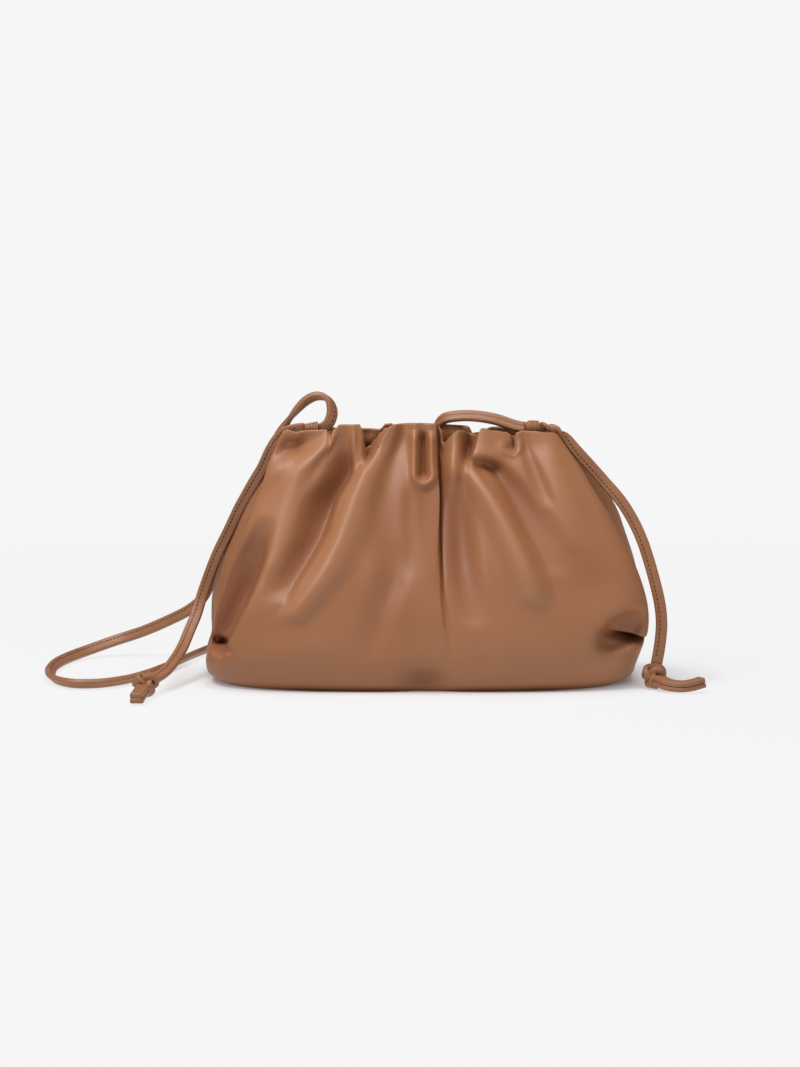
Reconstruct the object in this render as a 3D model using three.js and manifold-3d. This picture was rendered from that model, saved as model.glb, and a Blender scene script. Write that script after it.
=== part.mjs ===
// A gathered leather pouch bag with a knotted shoulder strap, in millimetres, +Z up.
// The origin is on the surface that the bag stands on, under the middle of the bag.
// +X runs along the mouth to the right, and the front faces -Y.
import * as THREE from 'three';
import { mergeVertices } from 'three/addons/utils/BufferGeometryUtils.js';
import Module from 'manifold-3d';

// Driving sizes of the pouch
const bagWidth = 234.6;
const bagDepth = 100;
const bagHeight = 134;
const wall = 1.8;

// Driving sizes of the strap, which is a folded strip of leather
const strapWidth = 6;
const strapThickness = 3;
const strapClearance = 0.3;
const hitchTurns = 3;
const hitchLength = 8;
const hitchRadius = 3.8;
const knotSpread = 13.4;
const stubWidth = 7.2;
const stubThickness = 5.4;

// How finely the surfaces are divided, and how much closer the columns stand on the front and back
const columns = 92;
const rows = 19;
const columnCrowding = 0.18;
const strapStep = 15;

// A table gives each of its rows as an object with the names of the columns.
function table(names, lines) {
  return lines.map((line) => Object.fromEntries(names.map((name, i) => [name, line[i]])));
}

// The pouch from the base to the rim. Heights are shares of the bag's height, widths and gussets
// shares of half its width, and front and back shares of half its depth. The plan is a rounded
// rectangle, the squarer the higher its squareness.
const sections = table(
  [
    'height', 'frontLeft', 'backLeft', 'frontRight', 'backRight', 'front', 'back', 'gussetLeft', 'gussetRight',
    'squareness',
  ],
  [
    [0.00, 0.910, 0.940, 0.870, 0.890, 0.87, 0.87, 0.00, 0.00, 3.2],
    [0.03, 0.975, 0.990, 0.935, 0.955, 0.96, 0.96, 0.00, 0.00, 3.4],
    [0.08, 0.990, 1.010, 0.960, 0.975, 1.00, 1.00, 0.02, 0.02, 3.8],
    [0.15, 0.920, 1.000, 0.985, 0.995, 1.00, 1.00, 0.10, 0.06, 4.6],
    [0.22, 0.855, 0.998, 1.005, 1.005, 0.98, 0.98, 0.11, 0.08, 5.4],
    [0.31, 0.800, 0.988, 1.008, 1.000, 0.95, 0.95, 0.12, 0.11, 6.0],
    [0.43, 0.785, 0.943, 0.980, 0.965, 0.86, 0.86, 0.15, 0.15, 6.0],
    [0.56, 0.785, 0.873, 0.910, 0.905, 0.71, 0.71, 0.18, 0.19, 6.0],
    [0.68, 0.780, 0.820, 0.838, 0.850, 0.56, 0.56, 0.20, 0.22, 6.0],
    [0.79, 0.745, 0.770, 0.773, 0.785, 0.42, 0.42, 0.21, 0.23, 6.0],
    [0.88, 0.712, 0.742, 0.710, 0.718, 0.29, 0.29, 0.22, 0.24, 6.0],
    [0.945, 0.660, 0.690, 0.655, 0.662, 0.20, 0.20, 0.20, 0.22, 6.0],
    [1.00, 0.650, 0.650, 0.612, 0.615, 0.16, 0.16, 0.19, 0.20, 6.0],
  ],
);

// Folds that run down from the rim. Each passes three places along the width, at its highest
// height, halfway and at its lowest height. Its left and right flanks have their own widths, as
// the places do, in shares of half the bag's width. The three rises are shares of half its depth,
// out for a ridge and in for a crease. A sharp fold comes to an edge, and a soft one is round.
const foldColumns = [
  'fold', 'sharp', 'top', 'middle', 'bottom', 'from', 'to', 'left', 'right', 'riseTop', 'riseMiddle', 'riseBottom',
];
const frontFolds = table(foldColumns, [
  ['centre crease', true, 0.061, 0.066, 0.084, 1.00, 0.34, 0.035, 0.090, -0.08, -0.13, 0.00],
  ['centre right roll', false, 0.124, 0.129, 0.169, 1.00, 0.45, 0.035, 0.060, 0.05, 0.05, 0.00],
  ['centre left valley', false, -0.088, -0.174, -0.210, 1.00, 0.40, 0.080, 0.080, -0.08, -0.06, 0.00],
  ['long left ridge', false, -0.225, -0.410, -0.640, 1.00, 0.27, 0.060, 0.170, 0.06, 0.11, 0.05],
  ['long left valley', false, -0.346, -0.463, -0.608, 1.00, 0.42, 0.090, 0.060, -0.07, -0.11, 0.00],
  ['left shoulder roll', false, -0.480, -0.630, -0.766, 0.95, 0.40, 0.100, 0.120, 0.00, 0.05, 0.00],
  ['right pocket', true, 0.201, 0.201, 0.197, 1.00, 0.84, 0.050, 0.035, -0.07, -0.07, -0.03],
  ['long right ridge', false, 0.200, 0.330, 0.470, 0.87, 0.38, 0.140, 0.060, 0.02, 0.10, 0.06],
  ['long right valley', false, 0.269, 0.400, 0.563, 0.92, 0.46, 0.050, 0.120, -0.02, -0.10, 0.00],
  ['right shoulder roll', false, 0.590, 0.620, 0.667, 0.97, 0.52, 0.100, 0.100, 0.00, 0.05, 0.00],
]);
const backFolds = table(foldColumns, [
  ['back centre crease', true, -0.060, -0.050, -0.040, 1.00, 0.42, 0.060, 0.060, -0.06, -0.08, 0.00],
  ['back left ridge', false, -0.240, -0.330, -0.420, 1.00, 0.35, 0.090, 0.070, 0.03, 0.07, 0.00],
  ['back left valley', false, -0.380, -0.470, -0.560, 1.00, 0.45, 0.080, 0.070, -0.06, -0.07, 0.00],
  ['back right valley', false, 0.200, 0.250, 0.300, 1.00, 0.45, 0.080, 0.080, -0.06, -0.06, 0.00],
  ['back right ridge', false, 0.330, 0.440, 0.560, 1.00, 0.35, 0.070, 0.090, 0.03, 0.06, 0.00],
]);

// Puckers are short upright tucks in the front rim, each a trough with a round lip about it.
const puckers = table(
  ['place', 'lowest', 'radius', 'lip', 'trough'],
  [
    [-0.010, 0.835, 0.043, 0.050, 0.080],
    [0.390, 0.950, 0.034, 0.030, 0.050],
  ],
);

// Dents are pressed into the front. The turn is in degrees from the level, and the rest are
// shares: places and lengths of half the width, the height of the height, the depth of half the depth.
const dents = table(
  ['dent', 'place', 'height', 'turn', 'long', 'wide', 'depth'],
  [
    ['left shoulder', -0.590, 0.915, 30, 0.150, 0.045, 0.070],
    ['left pinch', -0.930, 0.175, -12, 0.085, 0.040, 0.240],
    ['right pinch', 0.890, 0.195, -14, 0.110, 0.058, 0.260],
    ['bottom middle', -0.010, 0.065, 0, 0.085, 0.045, 0.060],
  ],
);

// The side of the pouch folds in between front and back, over this share of the depth. The rim
// drops at the corners and along the back by these shares of the height.
const gussetSpan = 0.7;
const rimDropAtCorners = 0.045;
const rimDropAtBack = 0.014;

const halfWidth = bagWidth / 2;
const halfDepth = bagDepth / 2;

const sectionNames = Object.keys(sections[0]).slice(1);
const sectionCurve = new THREE.CubicInterpolant(
  sections.map((row) => row.height),
  sections.flatMap((row) => sectionNames.map((name) => row[name])),
  sectionNames.length,
);

function sectionAt(height) {
  const values = sectionCurve.evaluate(height);
  return Object.fromEntries(sectionNames.map((name, i) => [name, values[i]]));
}

// A curve through three values at 0, 0.5 and 1.
function throughThree(first, middle, last, share) {
  const bend = 2 * (first - 2 * middle + last);
  return first + share * (last - first - bend) + share * share * bend;
}

function foldRise(fold, place, height) {
  const share = (fold.from - height) / (fold.from - fold.to);
  if (share < 0 || share > 1) return 0;
  const centre = throughThree(fold.top, fold.middle, fold.bottom, share);
  const away = place - centre;
  const flank = Math.abs(away) / (away < 0 ? fold.left : fold.right);
  if (flank >= 1) return 0;
  const rise = throughThree(fold.riseTop, fold.riseMiddle, fold.riseBottom, share);
  const roundEnd = Math.min(1, (1 - share) / 0.12);
  const profile = fold.sharp ? (1 - flank) ** 2 : 0.5 + 0.5 * Math.cos(Math.PI * flank);
  return rise * profile * roundEnd;
}

function puckerRise(pucker, place, height) {
  const below = Math.max(0, pucker.lowest - height) * bagHeight;
  const beside = (place - pucker.place) * halfWidth;
  const distance = Math.hypot(below, beside) / (pucker.radius * halfWidth);
  if (height < pucker.lowest - 0.2) return 0;
  const lip = pucker.lip * Math.exp(-(((distance - 1) / 0.35) ** 2));
  const trough = pucker.trough * Math.exp(-((distance / 0.6) ** 2));
  return lip - trough;
}

function dentRise(dent, place, height) {
  const turn = THREE.MathUtils.degToRad(dent.turn);
  const across = (place - dent.place) * halfWidth;
  const up = (height - dent.height) * bagHeight;
  const along = (across * Math.cos(turn) + up * Math.sin(turn)) / (dent.long * halfWidth);
  const aside = (up * Math.cos(turn) - across * Math.sin(turn)) / (dent.wide * halfWidth);
  return -dent.depth * Math.exp(-(along ** 2) - aside ** 2);
}

function sum(list, rise, place, height) {
  return list.reduce((total, entry) => total + rise(entry, place, height), 0);
}

// A point of the outer surface: the angle goes round the pouch, the height is a share from 0 to 1.
function outerPoint(angle, height) {
  const row = sectionAt(height);
  const c = Math.cos(angle);
  const s = Math.sin(angle);
  const reach = (Math.abs(c) ** row.squareness + Math.abs(s) ** row.squareness) ** (-1 / row.squareness);
  const along = c * reach;
  const across = s * reach;
  const toBack = THREE.MathUtils.smoothstep(across, -0.5, 0.5);
  const left = THREE.MathUtils.lerp(row.frontLeft, row.backLeft, toBack);
  const right = THREE.MathUtils.lerp(row.frontRight, row.backRight, toBack);
  const tuck = Math.max(0, 1 - Math.abs(across) / gussetSpan) ** 2;
  const share = along < 0 ? left * along + row.gussetLeft * tuck : right * along - row.gussetRight * tuck;
  const front = across < 0;
  const face = THREE.MathUtils.smoothstep(Math.abs(across), 0.25, 0.75);
  const rise = front
    ? sum(frontFolds, foldRise, share, height) + sum(puckers, puckerRise, share, height) + sum(dents, dentRise, share, height)
    : sum(backFolds, foldRise, share, height);
  const depth = (front ? row.front : row.back) * across + Math.sign(across) * face * rise;
  const drop = rimDropAtCorners * Math.abs(along) ** 8 + (front ? 0 : rimDropAtBack * (1 - along * along));
  return new THREE.Vector3(share * halfWidth, depth * halfDepth, height * bagHeight * (1 - drop * height ** 4));
}

function outwardNormal(angle, height) {
  const step = 0.004;
  const upper = Math.min(1, height + step);
  const lower = Math.max(0, height - step);
  const round = outerPoint(angle + step, height).sub(outerPoint(angle - step, height));
  const up = outerPoint(angle, upper).sub(outerPoint(angle, lower));
  return round.cross(up).normalize();
}

// A point of the inner surface, one wall inside the outer one, above the inner floor.
function innerPoint(angle, height) {
  const point = outerPoint(angle, height);
  const normal = outwardNormal(angle, height);
  if (height === 1) normal.setZ(0).normalize();
  point.addScaledVector(normal, -wall);
  if (height === 1) point.z = outerPoint(angle, 1).z;
  point.z = Math.max(point.z, wall);
  return point;
}

// The columns stand closer on the front and back than round the sides, and the rows closer at the
// base and the rim than between them.
function columnAngle(column) {
  const turn = (2 * Math.PI * column) / columns;
  return turn + columnCrowding * Math.sin(2 * turn);
}

function rowHeight(row) {
  return 0.5 - 0.5 * Math.cos((Math.PI * row) / rows);
}

// The pouch is one leather wall: outside, over the rim, inside, with a flat base.
function pouchGeometry() {
  const points = [];
  const faces = [];
  const ring = (level, pointAt) => {
    const first = points.length;
    for (let column = 0; column < columns; column += 1) points.push(pointAt(columnAngle(column), level));
    return first;
  };
  const join = (a, b) => {
    for (let column = 0; column < columns; column += 1) {
      const next = (column + 1) % columns;
      faces.push(a + column, a + next, b + next, a + column, b + next, b + column);
    }
  };
  const cap = (first, height, up) => {
    const middle = points.push(new THREE.Vector3(0, 0, height)) - 1;
    for (let column = 0; column < columns; column += 1) {
      const next = (column + 1) % columns;
      if (up) faces.push(middle, first + column, first + next);
      else faces.push(middle, first + next, first + column);
    }
  };
  const rings = [];
  for (let row = 0; row <= rows; row += 1) rings.push(ring(rowHeight(row), outerPoint));
  for (let row = rows; row >= 0; row -= 1) rings.push(ring(rowHeight(row), innerPoint));
  for (let i = 1; i < rings.length; i += 1) join(rings[i - 1], rings[i]);
  cap(rings[0], 0, false);
  cap(rings[rings.length - 1], wall, true);
  const geometry = new THREE.BufferGeometry();
  geometry.setAttribute('position', new THREE.Float32BufferAttribute(points.flatMap((p) => p.toArray()), 3));
  geometry.setIndex(faces);
  geometry.computeBoundingBox();
  const middle = geometry.boundingBox.getCenter(new THREE.Vector3());
  geometry.translate(-middle.x, -middle.y, 0);
  geometry.computeVertexNormals();
  return geometry;
}

// A strap follows chosen points: x, y and z, and the twist of its flat face in degrees.
// Away from its twist the face turns no more than the route itself does.
class StrapRoute extends THREE.CatmullRomCurve3 {
  constructor(stops, face) {
    super(stops.map(([x, y, z]) => new THREE.Vector3(x, y, z)), false, 'centripetal');
    this.twists = stops.map((stop) => THREE.MathUtils.degToRad(stop[3]));
    this.face = face;
  }

  twistAt(share) {
    const t = this.getUtoTmapping(share) * (this.twists.length - 1);
    const stop = Math.min(Math.floor(t), this.twists.length - 2);
    return THREE.MathUtils.lerp(this.twists[stop], this.twists[stop + 1], t - stop);
  }

  computeFrenetFrames(steps) {
    const tangents = [];
    const normals = [];
    const binormals = [];
    let carried = this.face.clone();
    for (let step = 0; step <= steps; step += 1) {
      const tangent = this.getTangentAt(step / steps).normalize();
      carried = carried.addScaledVector(tangent, -carried.dot(tangent)).normalize();
      const normal = carried.clone().applyAxisAngle(tangent, this.twistAt(step / steps));
      tangents.push(tangent);
      normals.push(normal);
      binormals.push(new THREE.Vector3().crossVectors(tangent, normal));
    }
    return { tangents, normals, binormals };
  }
}

// The section of a strap: flat, with rounded edges, in eight sides.
function strapSection(width, thickness) {
  const edge = thickness * 0.3;
  const x = thickness / 2;
  const y = width / 2;
  return new THREE.Shape([
    new THREE.Vector2(x, edge - y),
    new THREE.Vector2(x, y - edge),
    new THREE.Vector2(x - edge, y),
    new THREE.Vector2(edge - x, y),
    new THREE.Vector2(-x, y - edge),
    new THREE.Vector2(-x, edge - y),
    new THREE.Vector2(edge - x, -y),
    new THREE.Vector2(x - edge, -y),
  ]);
}

function strapGeometry(stops, face, width = strapWidth, thickness = strapThickness, step = strapStep) {
  const route = new StrapRoute(stops, face);
  const steps = Math.round(route.getLength() / step);
  return new THREE.ExtrudeGeometry(strapSection(width, thickness), { steps, extrudePath: route, bevelEnabled: false });
}

// The two hitches lie in the mouth, just behind the front rim, and wind round the strap.
const hitchLeft = new THREE.Vector3(-59.4, 0.2, 133.2);
const hitchRight = new THREE.Vector3(57.2, 0.0, 133.8);
const hitchEnd = hitchLength / 2 + strapClearance;

// The knots at the ends of the two tails lie on the surface that the bag stands on.
const knotLeft = new THREE.Vector3(-143.6, -58.0, knotSpread / 2);
const knotRight = new THREE.Vector3(119.4, -34.0, knotSpread / 2);

// The shoulder strap leaves the left hitch, loops over the corner, runs down the left side, lies
// on its edge in a loop beside the bag, passes behind it and climbs its back to the right hitch.
const shoulderStops = [
  [hitchLeft.x + hitchEnd, hitchLeft.y, hitchLeft.z, 0],
  [-53.8, 0.4, 133.4, 0],
  [-50.6, 1.2, 136.0, 0],
  [-48.8, 3.0, 142.0, 20],
  [-51.2, 5.4, 148.4, 60],
  [-56.6, 7.0, 149.9, 80],
  [-62.2, 8.4, 147.6, 80],
  [-67.6, 9.8, 142.4, 60],
  [-72.6, 11.4, 136.0, 30],
  [-77.0, 12.8, 129.6, 10],
  [-81.0, 14.2, 121.8, 0],
  [-85.8, 17.2, 112.6, 0],
  [-92.0, 20.8, 102.4, 0],
  [-98.6, 22.4, 90.4, 0],
  [-104.9, 27.4, 77.6, 0],
  [-110.2, 33.0, 63.6, 0],
  [-114.6, 39.0, 49.6, 0],
  [-119.6, 45.0, 38.0, 0],
  [-128.0, 52.0, 29.4, 0],
  [-140.2, 60.0, 22.0, 0],
  [-156.0, 67.0, 14.4, 0],
  [-172.0, 69.0, 8.8, 0],
  [-186.0, 61.0, 4.8, 0],
  [-195.6, 43.0, 3.3, 0],
  [-199.6, 21.0, 3.2, 0],
  [-199.0, -4.0, 3.2, 0],
  [-193.6, -25.0, 3.2, 0],
  [-182.6, -36.6, 3.2, 0],
  [-170.0, -36.0, 3.2, 0],
  [-158.0, -26.0, 3.2, 0],
  [-148.6, -9.0, 3.2, 0],
  [-140.8, 12.0, 3.2, 0],
  [-133.6, 34.0, 3.2, 0],
  [-126.4, 58.0, 3.2, 0],
  [-117.0, 82.0, 3.2, 0],
  [-100.0, 102.0, 3.2, 0],
  [-72.0, 114.0, 3.2, 0],
  [-36.0, 119.0, 3.2, 0],
  [4.0, 120.0, 3.2, 0],
  [40.0, 116.0, 3.2, 0],
  [64.0, 103.0, 3.4, 0],
  [72.0, 84.0, 4.6, 0],
  [63.0, 67.0, 8.6, 0],
  [49.0, 59.0, 20.0, 0],
  [38.0, 56.4, 38.0, 0],
  [29.0, 51.0, 58.0, 0],
  [21.0, 41.0, 80.0, 0],
  [13.0, 28.6, 103.0, 0],
  [7.6, 19.0, 121.0, 0],
  [6.6, 13.2, 131.6, 0],
  [10.0, 8.6, 137.4, 0],
  [18.0, 5.6, 139.4, 0],
  [28.0, 3.6, 139.4, 0],
  [38.0, 1.8, 137.8, 0],
  [46.0, 0.6, 135.2, 0],
  [50.6, 0.1, 134.0, 0],
  [hitchRight.x - hitchEnd, hitchRight.y, hitchRight.z, 0],
];

const leftTailStops = [
  [hitchLeft.x - hitchEnd, hitchLeft.y, hitchLeft.z, 0],
  [-67.0, 0.2, 132.9, 0],
  [-73.0, 0.6, 131.4, 0],
  [-77.2, 1.6, 128.0, 0],
  [-81.4, 3.0, 121.6, 0],
  [-85.6, 5.0, 112.6, 0],
  [-91.6, 8.0, 102.0, 0],
  [-98.2, 11.6, 90.6, 0],
  [-104.2, 15.6, 78.0, 0],
  [-110.8, 18.2, 64.6, 0],
  [-116.0, 19.2, 51.4, 0],
  [-119.6, 18.0, 41.0, 0],
  [-122.2, 13.6, 32.4, 0],
  [-125.4, 4.6, 24.6, 0],
  [-128.2, -8.0, 17.8, 0],
  [-131.8, -23.0, 12.6, 0],
  [-135.6, -39.0, 9.4, 0],
  [-140.4, -51.7, 7.7, 0],
];

const rightTailStops = [
  [hitchRight.x + hitchEnd, hitchRight.y, hitchRight.z, 0],
  [65.0, 0.4, 133.4, 0],
  [68.6, 1.2, 132.0, 0],
  [73.0, 1.6, 129.4, 0],
  [79.0, 1.0, 122.8, 0],
  [86.4, -1.0, 114.8, 0],
  [95.2, -4.0, 105.0, 0],
  [103.2, -8.0, 95.8, 0],
  [109.6, -12.0, 85.6, 0],
  [114.4, -16.0, 74.8, 0],
  [118.0, -19.0, 63.6, 0],
  [120.9, -22.0, 52.8, 0],
  [123.0, -25.0, 42.8, 0],
  [123.7, -27.6, 33.2, 0],
  [122.8, -30.4, 23.6, 0],
  [120.8, -33.2, 13.2, 0],
];

// Beyond each knot a short stub is left, in which the two plies of the strap show.
const leftStubStops = [
  [-144.4, -60.0, 5.0, 0],
  [-145.0, -68.0, 4.4, 0],
  [-145.6, -76.0, 4.0, 0],
  [-146.0, -84.0, 3.8, 0],
];
const rightStubStops = [
  [121.0, -38.0, 5.4, 0],
  [126.6, -45.6, 4.0, 0],
  [133.4, -48.6, 3.8, 0],
  [139.0, -47.8, 4.6, 0],
  [143.4, -45.8, 5.6, 0],
];

// A mesh with its shared points merged, so that it can be joined to another.
function merged(geometry) {
  const bare = geometry.clone();
  bare.deleteAttribute('normal');
  bare.deleteAttribute('uv');
  return mergeVertices(bare, 1e-4);
}

const solids = await Module();
solids.setup();

// Joins closed meshes that run into one another into one closed mesh.
function joined(geometries) {
  const whole = geometries
    .map((geometry) => {
      const bare = merged(geometry);
      const vertProperties = new Float32Array(bare.attributes.position.array);
      const triVerts = new Uint32Array(bare.index.array);
      return new solids.Manifold(new solids.Mesh({ numProp: 3, vertProperties, triVerts }));
    })
    .reduce((a, b) => a.add(b));
  const mesh = whole.getMesh();
  const geometry = new THREE.BufferGeometry();
  geometry.setAttribute('position', new THREE.BufferAttribute(new Float32Array(mesh.vertProperties), 3));
  geometry.setIndex(new THREE.BufferAttribute(new Uint32Array(mesh.triVerts), 1));
  geometry.computeVertexNormals();
  return geometry;
}

// A hitch is a few turns of the strap side by side round a core, about the X axis.
function hitchGeometry() {
  const turnWidth = hitchLength / hitchTurns;
  const tube = turnWidth * 0.6;
  const turns = Array.from({ length: hitchTurns }, (_, turn) => {
    const ring = new THREE.TorusGeometry(hitchRadius - tube, tube, 6, 12);
    ring.rotateY(Math.PI / 2);
    const inset = turnWidth / 2 + (tube - turnWidth / 2);
    const span = hitchLength - 2 * inset;
    ring.translate(-span / 2 + (span * turn) / (hitchTurns - 1), 0, 0);
    return ring;
  });
  const core = new THREE.CylinderGeometry(hitchRadius - tube, hitchRadius - tube, hitchLength - tube, 12);
  core.rotateZ(Math.PI / 2);
  return joined([core, ...turns]);
}

// An end knot is three turns of the strap crossing one another over a round core, with its stub.
function knotGeometry(centre, stubStops) {
  const tube = strapThickness * 0.9;
  const turns = [-35, 25, 85].map((lean) => {
    const ring = new THREE.TorusGeometry(knotSpread / 2 - tube, tube, 6, 14);
    ring.rotateX(THREE.MathUtils.degToRad(90 + lean));
    ring.rotateZ(THREE.MathUtils.degToRad(lean));
    return ring;
  });
  const core = new THREE.SphereGeometry(knotSpread * 0.36, 10, 8);
  const lump = joined([core, ...turns]);
  lump.translate(centre.x, centre.y, centre.z);
  return joined([lump, strapGeometry(stubStops, new THREE.Vector3(0, 0, 1), stubWidth, stubThickness, strapWidth)]);
}

const leather = new THREE.MeshStandardMaterial({ name: 'smooth_leather', color: 0xa5714e, roughness: 0.5, metalness: 0 });
const strapLeather = new THREE.MeshStandardMaterial({
  name: 'strap_leather', color: 0x9c6543, roughness: 0.55, metalness: 0,
});

const bag = new THREE.Group();

function addPiece(name, geometry, material, position = new THREE.Vector3()) {
  const piece = new THREE.Mesh(geometry, material);
  piece.name = name;
  piece.position.copy(position);
  bag.add(piece);
}

const towardsFront = new THREE.Vector3(0, -1, 0);
addPiece('pouch_body', pouchGeometry(), leather);
addPiece('shoulder_strap', strapGeometry(shoulderStops, towardsFront), strapLeather);
addPiece('strap_tail_left', strapGeometry(leftTailStops, towardsFront), strapLeather);
addPiece('strap_tail_right', strapGeometry(rightTailStops, towardsFront), strapLeather);
addPiece('strap_hitch_left', hitchGeometry(), strapLeather, hitchLeft);
addPiece('strap_hitch_right', hitchGeometry(), strapLeather, hitchRight);
addPiece('end_knot_left', knotGeometry(knotLeft, leftStubStops), strapLeather);
addPiece('end_knot_right', knotGeometry(knotRight, rightStubStops), strapLeather);

export default bag;
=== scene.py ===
# %% [markdown]
# A gathered leather pouch bag with a thin knotted shoulder strap stands on a pale floor.
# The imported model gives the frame: where each piece is and how big it is. Every piece below is
# made to fit it. First come the camera and the straps, because a strap that spreads too far would
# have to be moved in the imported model, and then the pouch, the knots, the finishes and the light.

# %% Load the frame
import math

import bpy
import numpy as np
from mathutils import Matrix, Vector


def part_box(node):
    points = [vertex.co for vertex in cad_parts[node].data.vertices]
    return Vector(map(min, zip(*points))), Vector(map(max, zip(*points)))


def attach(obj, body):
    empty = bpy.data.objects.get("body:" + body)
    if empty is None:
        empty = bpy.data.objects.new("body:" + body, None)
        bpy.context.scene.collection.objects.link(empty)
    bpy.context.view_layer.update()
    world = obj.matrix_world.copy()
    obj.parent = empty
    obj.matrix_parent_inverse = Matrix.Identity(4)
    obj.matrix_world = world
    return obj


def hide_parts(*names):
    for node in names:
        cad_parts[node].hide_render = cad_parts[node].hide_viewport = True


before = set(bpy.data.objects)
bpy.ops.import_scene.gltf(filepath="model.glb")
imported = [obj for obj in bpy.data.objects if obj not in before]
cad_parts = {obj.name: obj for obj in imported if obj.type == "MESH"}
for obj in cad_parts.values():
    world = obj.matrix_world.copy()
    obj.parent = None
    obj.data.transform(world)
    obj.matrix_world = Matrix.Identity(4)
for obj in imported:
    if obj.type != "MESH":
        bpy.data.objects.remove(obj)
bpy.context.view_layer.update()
pouch_low, pouch_high = (np.array(corner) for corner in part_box("pouch_body"))
HALF_WIDTH = (pouch_high[0] - pouch_low[0]) / 2
HALF_DEPTH = (pouch_high[1] - pouch_low[1]) / 2
HEIGHT = pouch_high[2] - pouch_low[2]
MM = 0.001
print("pouch half width, half depth and height:", HALF_WIDTH, HALF_DEPTH, HEIGHT)

# %% [markdown]
# The photograph looks at the front of the bag from a little above, from some way off. A long lens at a
# distance gives that flat view. The picture is taller than it is wide, so the lens's sensor width
# spans the picture's height, and the distance follows from the size of one pixel at the bag.

# %% Camera
PICTURE = (800, 1067)
PIXEL = 0.53 * MM
LENS = 100.0
SENSOR = 36.0
VIEW_DOWN = math.radians(7.0)
AIM = Vector((-13.0 * MM, 0.0, 77.4 * MM))

camera_data = bpy.data.cameras.new("camera")
camera_data.lens = LENS
camera_data.sensor_width = SENSOR
camera_data.clip_end = 50.0
camera = bpy.data.objects.new("camera", camera_data)
bpy.context.collection.objects.link(camera)
distance = PICTURE[1] * PIXEL * LENS / SENSOR
camera.location = AIM + distance * Vector((0.0, -math.cos(VIEW_DOWN), math.sin(VIEW_DOWN)))
camera.rotation_euler = (math.pi / 2 - VIEW_DOWN, 0.0, 0.0)
bpy.context.scene.camera = camera
print("camera stands", round(distance, 3), "m away")

# %% [markdown]
# A mesh here is made from rings of points, as a knitter makes a sleeve: each ring is joined to the
# next by a row of faces. One helper turns a grid of rings into a mesh, and can close its two ends.


# %% Helper: a mesh from rings
def mesh_object(name, points, faces, smooth=True):
    mesh = bpy.data.meshes.new(name)
    mesh.from_pydata([tuple(p) for p in points], [], faces)
    mesh.validate()
    for polygon in mesh.polygons:
        polygon.use_smooth = smooth
    made = bpy.data.objects.new(name, mesh)
    bpy.context.collection.objects.link(made)
    return made


def ring_faces(rings, around, close_ends=True):
    """Quads between rings of points that each go once round, with flat caps on the two ends."""
    faces = []
    for ring in range(rings - 1):
        low = ring * around
        for i in range(around):
            j = (i + 1) % around
            faces.append((low + i, low + j, low + around + j, low + around + i))
    if close_ends:
        last = (rings - 1) * around
        faces.append(tuple(reversed(range(around))))
        faces.append(tuple(range(last, last + around)))
    return faces


print("three closed rings of four points have", len(ring_faces(3, 4)), "faces")

# %% [markdown]
# The strap is a strip of leather folded over and stitched, 6 mm wide and 3 mm thick. Its route is a
# short list of chosen stops, in millimetres, and a smooth curve runs through them. The curve bends
# without looping between uneven stops because each stretch is timed by the root of its length.


# %% Helper: a smooth route through stops
CURVE_STEPS = 24


def smooth_route(stops, step):
    """Points a step apart on a centripetal Catmull-Rom curve through the stops."""
    stops = np.array(stops, float)
    ends = [2 * stops[0] - stops[1], *stops, 2 * stops[-1] - stops[-2]]
    fine = []
    for a, b, c, d in zip(ends, ends[1:], ends[2:], ends[3:]):
        spans = ((a, b), (b, c), (c, d))
        first, middle, last = (math.sqrt(np.linalg.norm(q[:3] - p[:3])) for p, q in spans)
        out = (b - a) / first - (c - a) / (first + middle) + (c - b) / middle
        into = (c - b) / middle - (d - b) / (middle + last) + (d - c) / last
        for t in np.linspace(0, 1, CURVE_STEPS, endpoint=False):
            fine.append(
                (2 * t**3 - 3 * t**2 + 1) * b
                + (t**3 - 2 * t**2 + t) * middle * out
                + (3 * t**2 - 2 * t**3) * c
                + (t**3 - t**2) * middle * into
            )
    fine.append(stops[-1])
    fine = np.array(fine)
    run = np.concatenate([[0], np.cumsum(np.linalg.norm(np.diff(fine[:, :3], axis=0), axis=1))])
    at = np.linspace(0, run[-1], max(3, round(run[-1] / step) + 1))
    return np.stack([np.interp(at, run, fine[:, i]) for i in range(fine.shape[1])], axis=1), run[-1]


def carried_frames(points, face):
    """Directions along, out of the flat face and across it, carried along without needless turns."""
    along = np.gradient(points, axis=0)
    along /= np.linalg.norm(along, axis=1)[:, None]
    out = np.zeros_like(points)
    carried = np.array(face, float)
    for i, tangent in enumerate(along):
        carried = carried - tangent * carried.dot(tangent)
        carried /= np.linalg.norm(carried)
        out[i] = carried
    return along, out, np.cross(along, out)


bend, bend_length = smooth_route([(0, 0, 0), (30, 0, 0), (30, 40, 0)], 5)
print("a bend through three stops has", len(bend), "points and is", round(bend_length, 1), "long")

# %% [markdown]
# The strap's section is a rounded strip. One flat side has a shallow groove down its middle, where
# the two folded edges meet, and the other carries the line of stitches.

# %% Strap sizes and section
STRAP_WIDTH = 6.0 * MM
STRAP_THICKNESS = 3.0 * MM
GROOVE_DEPTH = 0.55 * MM
GROOVE_WIDTH = 0.7 * MM
SEAM_SHARE = 0.13
EDGE_ROUNDING = 0.6
EDGE_STEPS = 4
GROOVE_LIP = 0.35
GROOVE_SINK = 0.99
SEAM_BAND = 0.3


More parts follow.
